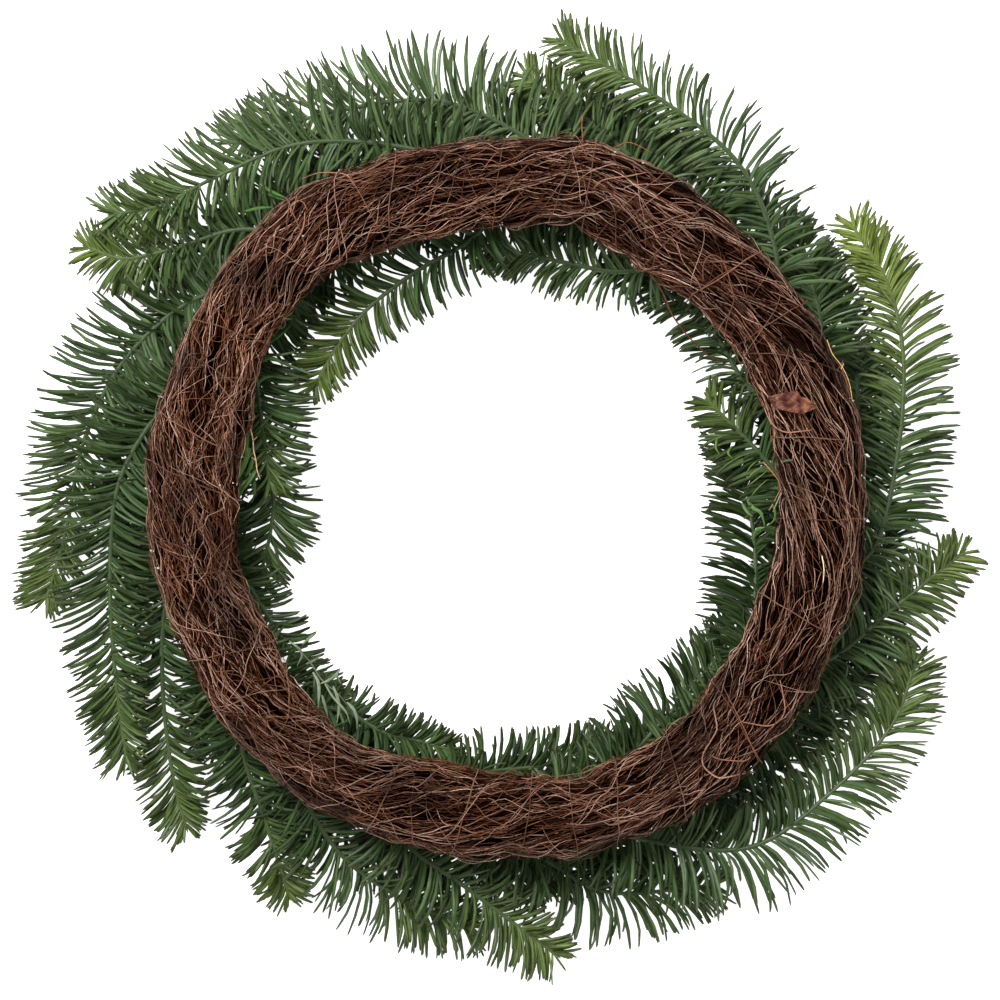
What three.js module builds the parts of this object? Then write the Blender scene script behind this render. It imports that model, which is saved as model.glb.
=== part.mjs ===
import * as THREE from 'three';

// A fresh evergreen wreath that lies face down, seen from its back.
// A ring of bound vine lies on top, and leafy sprays are fixed under it, all leaning counter-clockwise.
// Millimetres, +Z up. The origin is under the middle of the foliage, on the surface it lies on.

// Driving dimensions of the vine ring
const RING = {
  centre: [4, 1],
  radius: 203,
  halfWidth: 26,
  halfDepth: 22,
  height: 80,
  flatBack: 97.5,
  strands: 8,
  twistTurns: 3,
  relief: 0.07,
  stepsAround: 96,
};

// Slow swellings of the bundle: how many round the ring, how strong, where they start
const SWELLINGS = [
  { count: 3, amount: 0.04, phase: 0.8 },
  { count: 7, amount: 0.05, phase: 2.1 },
];

// Thin vine loops that bind the bundle, each named by its angle round the ring in degrees
const BINDING = {
  angles: [5.5, 46, 73.5, 111, 123, 172, 183, 202, 244.5, 265.5, 296, 306, 320, 339],
  halfThickness: 1.0,
  clearance: 0.9,
  slant: 3.2,
  sections: [0, 37, 64, 90, 118, 149, 180, 211, 242, 270, 296, 323],
};

// A dry leaf caught on the back of the ring
const LEAF = {
  angle: 18.5,
  halfAngle: 3.6,
  sectionFrom: 12,
  sectionTo: 92,
  clearance: 0.5,
  thickness: 0.8,
  columns: 4,
  rows: 5,
  endShare: 0.35,
  notchShare: 0.8,
};

// Stems are three-sided, and taper from the root to the tip. Needles start past the bare root, each on a
// foot of the stem's side. The seat values say how close the root comes to the ring.
const STEM = {
  rootRadius: 1.9,
  tipRadius: 1.2,
  nib: 6,
  spacing: 12,
  crowding: 1.3,
  bareRoot: 17,
  footShare: 0.7,
  seatGap: 0.45,
  seatReach: 40,
  seatSearch: 8,
  seatStep: 0.1,
  seatMarks: 10,
};

// Needles are three-sided blades with one bend, then a point. Leans are degrees from the stem's direction,
// first at the spray's root and then at its tip. Each needle keeps its clear radius and the gap from others,
// except along its root's share, and keeps out of the ring, the surface below and the hole.
const NEEDLE = {
  baseWidth: 3.0,
  width: 3.0,
  thickness: 1.1,
  bendAt: 0.55,
  rootLean: [54, 36],
  endLean: [86, 58],
  tipShare: 0.6,
  leanPower: 2,
  shortPower: 3,
  clearRadius: 1.6,
  rootShare: 0.4,
  gap: 0.4,
  searchMargin: 20,
  ringGap: 5,
  floorGap: 0.8,
  holeRadius: 117,
};

// How far each next needle on the hole's side stands out of the spray's own plane, in degrees, and how the
// opposite needle answers it
const ELEVATIONS = [6, -20, 30, -8, 46, -30, 14, -14, 36, 0, -38, 22];
const OPPOSITE = { lift: 6, share: -0.8 };

// What a needle tries, in turn, to keep clear of the others: degrees up or down, then shares of its length
const DODGES = [0, 9, -9, 18, -18, 29, -29, 42, -42];
const SHORTENINGS = [1, 0.85, 0.7, 0.5];

// Each outer spray: stem points as [angle, distance from the ring's centre, drop below the ring], and the
// length of its needles on the side that faces the hole and on the side that faces out
const OUTER_SPRAYS = [
  {
    path: [[96, 208, 4], [105, 231, 8], [120, 262, 10], [132, 277, 12], [144, 297, 15]],
    needles: [26, 28],
  },
  {
    path: [[78, 208, 4], [88, 234, 20], [100, 259, 27], [115, 273, 29], [127, 286, 32]],
    needles: [26, 31],
  },
  { path: [[128, 212, 4], [135, 243, 10], [143, 265, 14], [151, 303, 20]], needles: [24, 26] },
  {
    path: [[35, 208, 4], [42, 232, 7], [55, 260, 8], [70, 275, 10], [84, 296, 14]],
    needles: [29, 34],
  },
  { path: [[62, 210, 4], [68, 229, 16], [77, 246, 24], [87, 271, 29]], needles: [24, 26] },
  { path: [[50, 210, 4], [59, 230, 22], [70, 243, 34], [82, 249, 42]], needles: [24, 28] },
  { path: [[22, 210, 4], [29, 230, 12], [36, 241, 22], [41, 252, 30]], needles: [20, 22] },
  {
    path: [[344, 210, 4], [352, 236, 6], [5, 250, 8], [20, 268, 9], [30, 277, 11], [39, 284, 13]],
    needles: [27, 35],
  },
  { path: [[327, 208, 4], [334, 232, 8], [344, 250, 10], [355, 291, 14]], needles: [31, 25] },
  {
    path: [[284, 210, 4], [292, 235, 7], [305, 272, 8], [318, 280, 9], [330, 287, 10], [339, 284, 12]],
    needles: [31, 36],
  },
  { path: [[309, 208, 4], [317, 233, 18], [326, 242, 25], [339, 272, 32]], needles: [26, 28] },
  { path: [[268, 210, 4], [276, 232, 20], [284, 255, 27], [298, 280, 34]], needles: [26, 27] },
  {
    path: [[247, 208, 4], [254, 230, 8], [264, 250, 12], [273, 275, 15], [279, 302, 18]],
    needles: [29, 30],
  },
  {
    path: [[229, 210, 4], [237, 233, 12], [246, 253, 18], [257, 267, 22], [265, 277, 25]],
    needles: [28, 30],
  },
  { path: [[216, 212, 4], [224, 234, 10], [233, 257, 16], [241, 292, 22]], needles: [28, 28] },
  {
    path: [[188, 208, 4], [197, 228, 16], [209, 252, 23], [221, 282, 27], [226, 302, 30]],
    needles: [28, 28],
  },
  {
    path: [[158, 210, 4], [167, 230, 6], [178, 248, 8], [192, 259, 10], [204, 274, 12], [214, 297, 14]],
    needles: [27, 32],
  },
  {
    path: [[140, 212, 4], [148, 238, 14], [160, 260, 18], [172, 273, 21], [184, 283, 23], [192, 301, 25]],
    needles: [26, 29],
  },
  { path: [[206, 206, 4], [213, 222, 22], [221, 248, 38]], needles: [20, 22] },
];

// Each inner spray, in the same form, along the edge of the hole
const INNER_SPRAYS = [
  {
    path: [[88, 196, 4], [98, 167, 10], [112, 156, 12], [127, 150, 13], [140, 145, 14], [149, 142, 16]],
    needles: [27, 29],
  },
  {
    path: [[54, 190, 4], [63, 163, 18], [76, 156, 25], [87, 158, 29], [96, 159, 32]],
    needles: [28, 22],
  },
  {
    path: [[16, 194, 4], [25, 171, 18], [40, 171, 26], [54, 168, 32], [66, 164, 36]],
    needles: [26, 20],
  },
  { path: [[354, 194, 4], [3, 178, 9], [11, 165, 10], [26, 149, 12]], needles: [25, 28] },
  {
    path: [[324, 194, 4], [333, 178, 20], [346, 165, 27], [0, 155, 30], [13, 145, 32]],
    needles: [33, 24],
  },
  {
    path: [[284, 193, 4], [293, 182, 18], [308, 176, 28], [322, 174, 34], [333, 171, 38]],
    needles: [31, 22],
  },
  {
    path: [[256, 193, 4], [266, 176, 20], [279, 173, 27], [291, 169, 32], [302, 162, 35]],
    needles: [25, 20],
  },
  {
    path: [[224, 193, 4], [232, 172, 12], [242, 169, 14], [252, 166, 15], [263, 157, 16]],
    needles: [22, 20],
  },
  {
    path: [[188, 193, 4], [198, 175, 20], [210, 170, 27], [224, 171, 32], [238, 172, 36]],
    needles: [24, 20],
  },
  { path: [[148, 196, 4], [157, 177, 10], [166, 164, 12], [175, 158, 14]], needles: [32, 20] },
  {
    path: [[168, 194, 4], [172, 164, 20], [179, 154, 27], [188, 156, 30], [197, 167, 33]],
    needles: [32, 24],
  },
];

// The front sprays repeat round the ring, and each ends flat on the surface
const FRONT = {
  count: 12,
  firstAngle: 10,
  turns: [0, 10, 22, 34, 44],
  drops: [4, 28, 46, 57.5, 57.5],
  radii: [[204, 207, 212, 219, 228], [204, 201, 197, 190, 180]],
  needles: [26, 26],
};

const FINISHES = {
  vine: { color: 0x4b3022, roughness: 0.9 },
  binding: { color: 0x6b4a36, roughness: 0.85 },
  dryLeaf: { color: 0x86492f, roughness: 0.8 },
  outerFoliage: { color: 0x47602f, roughness: 0.6 },
  innerFoliage: { color: 0x3a5229, roughness: 0.6 },
  frontFoliage: { color: 0x425a2c, roughness: 0.6 },
};

// Stems and needles both have three sides; a stem's low corners sit beside and below its centre line
const SIDES = 3;
const LOW_CORNER = { beside: Math.sin(Math.PI / SIDES), below: Math.cos(Math.PI / SIDES) };
const degrees = THREE.MathUtils.degToRad;

function solid(name, points, triangles, finish) {
  const geometry = new THREE.BufferGeometry();
  const numbers = points.flatMap((point) => point.toArray());
  geometry.setAttribute('position', new THREE.Float32BufferAttribute(numbers, 3));
  geometry.setIndex(triangles.flat());
  geometry.computeVertexNormals();
  const mesh = new THREE.Mesh(geometry, new THREE.MeshStandardMaterial({ ...finish, metalness: 0 }));
  mesh.name = name;
  return mesh;
}

// The ring's surface: round is the angle round the hole, section the angle round the bundle, 0 on top and
// 90 degrees at the hole's side; relief is 1 on a strand and -1 between two, and proud lifts the point
function ringSurface(round, section, relief, proud) {
  let size = 1 + RING.relief * 0.5 * (relief - 1);
  for (const swelling of SWELLINGS) {
    size += swelling.amount * 0.5 * Math.sin(swelling.count * round + swelling.phase);
  }
  const across = (RING.halfWidth * size + proud) * Math.sin(section);
  const up = (RING.halfDepth * size + proud) * Math.cos(section);
  const reach = RING.radius - across;
  const height = Math.min(RING.height + up, RING.flatBack + proud);
  return new THREE.Vector3(
    RING.centre[0] + reach * Math.cos(round),
    RING.centre[1] + reach * Math.sin(round),
    height,
  );
}

function makeRing() {
  const around = RING.stepsAround;
  const across = RING.strands * 2;
  const points = [];
  const triangles = [];
  for (let i = 0; i < around; i += 1) {
    const round = (2 * Math.PI * i) / around;
    for (let j = 0; j < across; j += 1) {
      const section = (2 * Math.PI * j) / across + RING.twistTurns * round;
      points.push(ringSurface(round, section, j % 2 === 0 ? 1 : -1, 0));
      const a = i * across + j;
      const b = i * across + ((j + 1) % across);
      const c = ((i + 1) % around) * across + j;
      const d = ((i + 1) % around) * across + ((j + 1) % across);
      triangles.push([a, d, b], [a, c, d]);
    }
  }
  return solid('vine_ring', points, triangles, FINISHES.vine);
}

// One binding loop: a square vine once round the bundle, slanted where it crosses the back
function makeBinding(index) {
  const round = degrees(BINDING.angles[index]);
  const slant = degrees(BINDING.slant) * (index % 2 === 0 ? 1 : -1);
  const points = [];
  const triangles = [];
  const steps = BINDING.sections.length;
  for (let i = 0; i < steps; i += 1) {
    const section = degrees(BINDING.sections[i]);
    const onBack = Math.max(0, Math.cos(section));
    const here = round + slant * onBack * Math.sin(section);
    const wide = BINDING.halfThickness / RING.radius;
    const near = BINDING.clearance;
    const far = BINDING.clearance + 2 * BINDING.halfThickness;
    points.push(ringSurface(here - wide, section, 1, near));
    points.push(ringSurface(here + wide, section, 1, near));
    points.push(ringSurface(here + wide, section, 1, far));
    points.push(ringSurface(here - wide, section, 1, far));
    for (let k = 0; k < 4; k += 1) {
      const a = i * 4 + k;
      const b = i * 4 + ((k + 1) % 4);
      const c = ((i + 1) % steps) * 4 + k;
      const d = ((i + 1) % steps) * 4 + ((k + 1) % 4);
      triangles.push([a, d, b], [a, c, d]);
    }
  }
  const name = `binding_vine_${String(index + 1).padStart(2, '0')}`;
  return solid(name, points, triangles, FINISHES.binding);
}

// The dry leaf follows the bundle's back; it is widest in the middle, with a notch at every second row
function makeDryLeaf() {
  const { columns, rows } = LEAF;
  const points = [];
  const triangles = [];
  const layer = (columns + 1) * (rows + 1);
  for (const proud of [LEAF.clearance, LEAF.clearance + LEAF.thickness]) {
    for (let r = 0; r <= rows; r += 1) {
      const along = r / rows;
      const section = degrees(THREE.MathUtils.lerp(LEAF.sectionFrom, LEAF.sectionTo, along));
      const outline = THREE.MathUtils.lerp(LEAF.endShare, 1, Math.sin(Math.PI * along));
      const half = degrees(LEAF.halfAngle) * outline * (r % 2 === 0 ? LEAF.notchShare : 1);
      for (let c = 0; c <= columns; c += 1) {
        const side = (2 * c) / columns - 1;
        points.push(ringSurface(degrees(LEAF.angle) + half * side, section, 1, proud));
      }
    }
  }
  const at = (level, r, c) => level * layer + r * (columns + 1) + c;
  const quad = (a, b, c, d) => triangles.push([a, b, c], [a, c, d]);
  for (let r = 0; r < rows; r += 1) {
    for (let c = 0; c < columns; c += 1) {
      quad(at(1, r, c), at(1, r, c + 1), at(1, r + 1, c + 1), at(1, r + 1, c));
      quad(at(0, r, c), at(0, r + 1, c), at(0, r + 1, c + 1), at(0, r, c + 1));
    }
    quad(at(0, r, 0), at(1, r, 0), at(1, r + 1, 0), at(0, r + 1, 0));
    quad(at(0, r, columns), at(0, r + 1, columns), at(1, r + 1, columns), at(1, r, columns));
  }
  for (let c = 0; c < columns; c += 1) {
    quad(at(0, 0, c), at(0, 0, c + 1), at(1, 0, c + 1), at(1, 0, c));
    quad(at(0, rows, c), at(1, rows, c), at(1, rows, c + 1), at(0, rows, c + 1));
  }
  return solid('dry_leaf', points, triangles, FINISHES.dryLeaf);
}

// Shortest distance between two straight stretches, a to b and c to d
function stretchDistance(a, b, c, d) {
  const u = b.clone().sub(a);
  const v = d.clone().sub(c);
  const w = a.clone().sub(c);
  const uu = u.dot(u);
  const uv = u.dot(v);
  const vv = v.dot(v);
  const uw = u.dot(w);
  const vw = v.dot(w);
  const even = uu * vv - uv * uv;
  const clamp = THREE.MathUtils.clamp;
  let s = even > 1e-6 ? clamp((uv * vw - vv * uw) / even, 0, 1) : 0;
  const t = clamp((uv * s + vw) / vv, 0, 1);
  s = clamp((uv * t - uw) / uu, 0, 1);
  return w.add(u.multiplyScalar(s)).sub(v.multiplyScalar(t)).length();
}

// Everything already placed, as stretches with a radius and the spray that they belong to
const placed = [];

function isClear(from, to, radius, owner, skip) {
  const reach = from.distanceTo(to) + NEEDLE.searchMargin;
  const start = from.clone().lerp(to, skip);
  return placed.every((other) => {
    if (other.from.distanceTo(from) > reach + other.length) return true;
    if (other.owner === owner && other.isStem) return true;
    const limit = radius + other.radius + NEEDLE.gap;
    const begin = other.owner === owner ? other.from.clone().lerp(other.to, other.skip) : other.from;
    return stretchDistance(start, to, begin, other.to) > limit;
  });
}

function place(from, to, radius, owner, isStem, skip) {
  placed.push({ from, to, radius, owner, isStem, skip, length: from.distanceTo(to) });
}

// Whether a point keeps out of the ring with its bindings, the hole and the surface below
function isInBounds(point, ringGap) {
  const x = point.x - RING.centre[0];
  const y = point.y - RING.centre[1];
  const fromCentre = Math.hypot(x, y);
  if (fromCentre < NEEDLE.holeRadius || point.z < NEEDLE.floorGap) return false;
  const round = Math.atan2(y, x);
  const across = RING.radius - fromCentre;
  const up = point.z - RING.height;
  const section = Math.atan2(across / RING.halfWidth, up / RING.halfDepth);
  const skin = ringSurface(round, section, 1, ringGap);
  const skinReach = Math.hypot(skin.x - RING.centre[0], skin.y - RING.centre[1]) - RING.radius;
  return Math.hypot(across, up) > Math.hypot(skinReach, skin.z - RING.height);
}

function ringPoint([angle, reach, drop]) {
  return new THREE.Vector3(
    RING.centre[0] + reach * Math.cos(degrees(angle)),
    RING.centre[1] + reach * Math.sin(degrees(angle)),
    RING.height - RING.halfDepth - drop,
  );
}

// Points of a stem: its centre line, side and up directions and radius at each step
function stemSteps(path) {
  const curve = new THREE.CatmullRomCurve3(path.map(ringPoint), false, 'centripetal');
  const length = curve.getLength();
  const count = Math.round(length / STEM.spacing);
  const steps = [];
  for (let i = 0; i <= count; i += 1) {
    const along = 1 - (1 - i / count) ** STEM.crowding;
    const centre = curve.getPointAt(along);
    const tangent = curve.getTangentAt(along);
    const side = new THREE.Vector3(0, 0, 1).cross(tangent).normalize();
    const up = tangent.clone().cross(side);
    const radius = THREE.MathUtils.lerp(STEM.rootRadius, STEM.tipRadius, along);
    steps.push({ centre, tangent, side, up, radius, along, distance: along * length });
  }
  return steps;
}

// The stem's three corners; what would sink into the surface below lies flat on it
function stemCorners({ centre, side, up, radius }) {
  const low = centre.clone().addScaledVector(up, -LOW_CORNER.below * radius);
  low.z = Math.max(low.z, 0);
  return {
    top: centre.clone().addScaledVector(up, radius),
    left: low.clone().addScaledVector(side, LOW_CORNER.beside * radius),
    right: low.clone().addScaledVector(side, -LOW_CORNER.beside * radius),
  };
}

function ringTriangles(ring) {
  const { position } = ring.geometry.attributes;
  const index = ring.geometry.index.array;
  const corner = (i) => new THREE.Vector3().fromBufferAttribute(position, index[i]);
  const list = [];
  for (let i = 0; i < index.length; i += 3) {
    list.push(new THREE.Triangle(corner(i), corner(i + 1), corner(i + 2)));
  }
  return list;
}

// Raises the root until the stem's top edge lies just under the ring
function seatRoot(path, skin) {
  const [angle, reach, drop] = path[0];
  const root = ringPoint(path[0]);
  const near = skin.filter((t) => t.a.distanceTo(root) < STEM.seatReach);
  const closest = new THREE.Vector3();
  const gapAt = (rootDrop) => {
    const steps = stemSteps([[angle, reach, rootDrop], ...path.slice(1)]);
    const corners = steps.slice(0, 3).map(stemCorners);
    let gap = Infinity;
    for (let s = 0; s + 1 < corners.length; s += 1) {
      for (const edge of ['top', 'left', 'right']) {
        for (let mark = 0; mark <= STEM.seatMarks; mark += 1) {
          const point = corners[s][edge].clone().lerp(corners[s + 1][edge], mark / STEM.seatMarks);
          for (const triangle of near) {
            gap = Math.min(gap, triangle.closestPointToPoint(point, closest).distanceTo(point));
          }
        }
      }
    }
    return gap;
  };
  let seated = drop + STEM.seatSearch;
  while (gapAt(seated - STEM.seatStep) > STEM.seatGap) seated -= STEM.seatStep;
  return [[angle, reach, seated], ...path.slice(1)];
}

// One needle that grows from the stem's surface: two straight stretches, or one if it has no bend
function needleLine(step, root, facing, elevation, length, bent) {
  const outward = step.side.clone().multiplyScalar(facing * Math.cos(elevation));
  outward.addScaledVector(step.up, Math.sin(elevation));
  const lean = (range) => degrees(THREE.MathUtils.lerp(range[0], range[1], step.along ** NEEDLE.leanPower));
  const heading = (angle) => step.tangent.clone().multiplyScalar(Math.cos(angle))
    .addScaledVector(outward, Math.sin(angle));
  const first = lean(NEEDLE.rootLean);
  const second = lean(NEEDLE.endLean);
  if (!bent) {
    const straight = heading((first + second) / 2);
    return { tip: root.clone().addScaledVector(straight, length), heading: straight };
  }
  const start = heading(first);
  const bend = root.clone().addScaledVector(start, length * NEEDLE.bendAt);
  const tip = bend.clone().addScaledVector(heading(second), length * (1 - NEEDLE.bendAt));
  const middle = start.clone().add(heading(second)).normalize();
  return { bend, tip, heading: middle };
}

function needleFits(line, root, owner) {
  const bend = line.bend ?? root.clone().lerp(line.tip, 0.5);
  const marks = [bend, line.tip, root.clone().lerp(bend, 0.5), bend.clone().lerp(line.tip, 0.5)];
  return marks.every((mark) => isInBounds(mark, NEEDLE.ringGap))
    && isClear(root, bend, NEEDLE.clearRadius, owner, NEEDLE.rootShare)
    && isClear(bend, line.tip, NEEDLE.clearRadius, owner, 0);
}

// Needles grow shorter towards the spray's tip
function needleLength(length, along) {
  return length * THREE.MathUtils.lerp(1, NEEDLE.tipShare, along ** NEEDLE.shortPower);
}

// The first direction and length that keeps a needle clear of everything placed before it
function findNeedle(step, root, facing, elevation, length, owner, bent) {
  for (const shortening of SHORTENINGS) {
    for (const dodge of DODGES) {
      const line = needleLine(step, root, facing, degrees(elevation + dodge), length * shortening, bent);
      if (needleFits(line, root, owner)) return line;
    }
  }
  return null;
}

// Adds the needle's faces in place of the face a, b, c of the stem
function raiseNeedle(points, triangles, face, line, tangent) {
  const tipIndex = points.length;
  points.push(line.tip);
  if (!line.bend) {
    for (let k = 0; k < SIDES; k += 1) {
      triangles.push([face[k], face[(k + 1) % SIDES], tipIndex]);
    }
    return;
  }
  const wide = tangent.clone().addScaledVector(line.heading, -tangent.dot(line.heading)).normalize();
  const thick = line.heading.clone().cross(wide);
  const raised = thick.z < 0 ? thick.clone().negate() : thick;
  const corners = [
    line.bend.clone().addScaledVector(wide, NEEDLE.width / 2),
    line.bend.clone().addScaledVector(wide, -NEEDLE.width / 2),
    line.bend.clone().addScaledVector(raised, NEEDLE.thickness),
  ];
  const turn = corners[1].clone().sub(corners[0]).cross(corners[2].clone().sub(corners[0]));
  if (turn.dot(line.heading) < 0) corners.reverse();
  const offset = line.bend.clone().sub(points[face[0]]);
  const twist = (shift) => face.reduce((sum, vertex, k) => {
    const moved = points[vertex].clone().add(offset);
    return sum + moved.distanceTo(corners[(k + shift) % SIDES]);
  }, 0);
  const shift = [0, 1, 2].sort((a, b) => twist(a) - twist(b))[0];
  const bends = [0, 1, 2].map((k) => {
    points.push(corners[(k + shift) % SIDES]);
    return points.length - 1;
  });
  for (let k = 0; k < SIDES; k += 1) {
    const next = (k + 1) % SIDES;
    triangles.push([face[k], face[next], bends[next]], [face[k], bends[next], bends[k]]);
    triangles.push([bends[k], bends[next], tipIndex]);
  }
}

// One spray: a stem with a needle on each side of every stretch, and a pointed nib at its end
function makeSpray(spray, finish, bent) {
  const { name, steps } = spray;
  const points = [];
  const triangles = [];
  for (const step of steps) {
    const corners = stemCorners(step);
    points.push(corners.top, corners.left, corners.right);
  }
  const top = (i) => i * 3;
  const left = (i) => i * 3 + 1;
  const right = (i) => i * 3 + 2;
  const grow = (face, step, facing, elevation, length) => {
    const root = new THREE.Vector3();
    face.forEach((vertex) => root.addScaledVector(points[vertex], 1 / face.length));
    const line = findNeedle(step, root, facing, elevation, length, name, bent);
    if (!line) {
      triangles.push(face);
      return;
    }
    raiseNeedle(points, triangles, face, line, step.tangent);
    const bend = line.bend ?? root.clone().lerp(line.tip, 0.5);
    place(root, bend, NEEDLE.clearRadius, name, false, NEEDLE.rootShare);
    place(bend, line.tip, NEEDLE.clearRadius, name, false, 0);
  };
  triangles.push([top(0), left(0), right(0)]);
  for (let i = 0; i + 1 < steps.length; i += 1) {
    const step = steps[i];
    const stretch = step.centre.distanceTo(steps[i + 1].centre);
    const isLeafy = step.distance > STEM.bareRoot;
    const foot = Math.min(NEEDLE.baseWidth / stretch, STEM.footShare);
    if (!isLeafy) {
      triangles.push([left(i), top(i), left(i + 1)], [top(i), top(i + 1), left(i + 1)]);
      triangles.push([right(i), right(i + 1), top(i)], [top(i), right(i + 1), top(i + 1)]);
      triangles.push([left(i), left(i + 1), right(i)], [right(i), left(i + 1), right(i + 1)]);
      continue;
    }
    points.push(points[left(i)].clone().lerp(points[left(i + 1)], foot));
    const leftFoot = points.length - 1;
    points.push(points[right(i)].clone().lerp(points[right(i + 1)], foot));
    const rightFoot = points.length - 1;
    const elevation = ELEVATIONS[i % ELEVATIONS.length];
    const opposite = OPPOSITE.lift + OPPOSITE.share * elevation;
    const [holeSide, outSide] = spray.needles.map((length) => needleLength(length, step.along));
    grow([left(i), top(i), leftFoot], step, 1, elevation, holeSide);
    grow([right(i), rightFoot, top(i)], step, -1, opposite, outSide);
    triangles.push([leftFoot, top(i), top(i + 1)], [leftFoot, top(i + 1), left(i + 1)]);
    triangles.push([rightFoot, right(i + 1), top(i + 1)], [rightFoot, top(i + 1), top(i)]);
    triangles.push([left(i), leftFoot, rightFoot], [left(i), rightFoot, right(i)]);
    triangles.push([leftFoot, left(i + 1), right(i + 1)], [leftFoot, right(i + 1), rightFoot]);
  }
  const last = steps.length - 1;
  points.push(steps[last].centre.clone().addScaledVector(steps[last].tangent, STEM.nib));
  const nib = points.length - 1;
  triangles.push([top(last), nib, left(last)], [right(last), nib, top(last)]);
  triangles.push([left(last), nib, right(last)]);
  return solid(name, points, triangles, finish);
}

// The front sprays in turn lean out and in; the last two points lie on the surface
function frontSprays() {
  return Array.from({ length: FRONT.count }, (_, i) => {
    const start = FRONT.firstAngle + (360 / FRONT.count) * i;
    const radii = FRONT.radii[i % FRONT.radii.length];
    const path = radii.map((reach, k) => [start + FRONT.turns[k], reach, FRONT.drops[k]]);
    return { path, needles: FRONT.needles };
  });
}

const wreath = new THREE.Group();
const ring = makeRing();
wreath.add(ring);
BINDING.angles.forEach((_, index) => wreath.add(makeBinding(index)));
wreath.add(makeDryLeaf());

const families = [
  { prefix: 'outer_spray', sprays: OUTER_SPRAYS, finish: FINISHES.outerFoliage, bent: true },
  { prefix: 'inner_spray', sprays: INNER_SPRAYS, finish: FINISHES.innerFoliage, bent: true },
  { prefix: 'front_spray', sprays: frontSprays(), finish: FINISHES.frontFoliage, bent: false },
];
const skin = ringTriangles(ring);
for (const family of families) {
  family.sprays.forEach((spray, index) => {
    spray.name = `${family.prefix}_${String(index + 1).padStart(2, '0')}`;
    spray.steps = stemSteps(seatRoot(spray.path, skin));
    for (let i = 0; i + 1 < spray.steps.length; i += 1) {
      const here = spray.steps[i];
      place(here.centre, spray.steps[i + 1].centre, here.radius, spray.name, true, 0);
    }
  });
}
for (const family of families) {
  for (const spray of family.sprays) {
    wreath.add(makeSpray(spray, family.finish, family.bent));
  }
}

export default wreath;
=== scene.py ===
import math

import bpy
import numpy as np
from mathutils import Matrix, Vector


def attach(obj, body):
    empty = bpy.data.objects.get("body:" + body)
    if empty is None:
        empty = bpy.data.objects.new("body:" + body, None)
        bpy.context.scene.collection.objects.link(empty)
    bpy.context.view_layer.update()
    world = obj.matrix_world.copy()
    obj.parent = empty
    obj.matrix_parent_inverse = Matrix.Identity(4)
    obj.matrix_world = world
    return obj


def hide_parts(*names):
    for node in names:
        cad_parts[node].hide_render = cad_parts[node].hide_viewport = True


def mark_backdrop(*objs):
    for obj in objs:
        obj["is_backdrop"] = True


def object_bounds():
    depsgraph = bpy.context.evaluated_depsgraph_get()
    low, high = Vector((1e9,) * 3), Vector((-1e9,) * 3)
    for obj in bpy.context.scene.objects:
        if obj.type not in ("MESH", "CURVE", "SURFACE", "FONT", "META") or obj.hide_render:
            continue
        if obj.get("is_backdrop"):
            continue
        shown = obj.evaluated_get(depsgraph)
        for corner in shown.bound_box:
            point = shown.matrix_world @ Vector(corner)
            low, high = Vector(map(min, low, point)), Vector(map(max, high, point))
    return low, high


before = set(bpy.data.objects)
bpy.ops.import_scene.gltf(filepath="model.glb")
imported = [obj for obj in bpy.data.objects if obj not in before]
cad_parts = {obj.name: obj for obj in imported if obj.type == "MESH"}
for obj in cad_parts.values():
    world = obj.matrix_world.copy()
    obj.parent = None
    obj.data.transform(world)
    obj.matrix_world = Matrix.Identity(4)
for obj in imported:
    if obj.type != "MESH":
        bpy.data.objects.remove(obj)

# A fresh evergreen wreath that lies face down: a bound ring of thin vine on top, leafy sprays under it.
# Lengths are millimetres until a mesh is made. Angles in named values are degrees, but round_angle and
# section are radians.

MM = 0.001
UPWARDS = np.array([0.0, 0.0, 1.0])
SMOOTH = 180
CAD_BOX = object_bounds()

# The picture, and how long one of its pixels is at what height under the camera
PICTURE_WIDTH = 1000
PIXEL = 0.6375
PIXEL_HEIGHT = 60.0
CAMERA_HEIGHT = 4000.0
SENSOR_WIDTH = 36

chance = np.random.default_rng(24)

# The ring: its centre, the height of its middle and its back, and its edges every 15 degrees
RING_CENTRE = np.array([4.0, 1.0])
RING_HEIGHT = 80.0
RING_HALF_DEPTH = 22.0
RING_UNDERSIDE = RING_HEIGHT - RING_HALF_DEPTH
FLAT_BACK = 98.5
FLAT_BLEND = 3.0
EDGE_STEP = 15.0
EDGE_INSET = 1.5
INNER_EDGE = [171, 171, 173, 173, 160, 181, 171, 168, 175, 183, 179, 166,
              167, 175, 169, 180, 182, 167, 173, 181, 177, 175, 171, 172]
OUTER_EDGE = [228, 228, 228, 227, 229, 235, 230, 230, 236, 236, 229, 230,
              230, 227, 228, 232, 230, 228, 230, 232, 233, 234, 228, 233]

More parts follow.
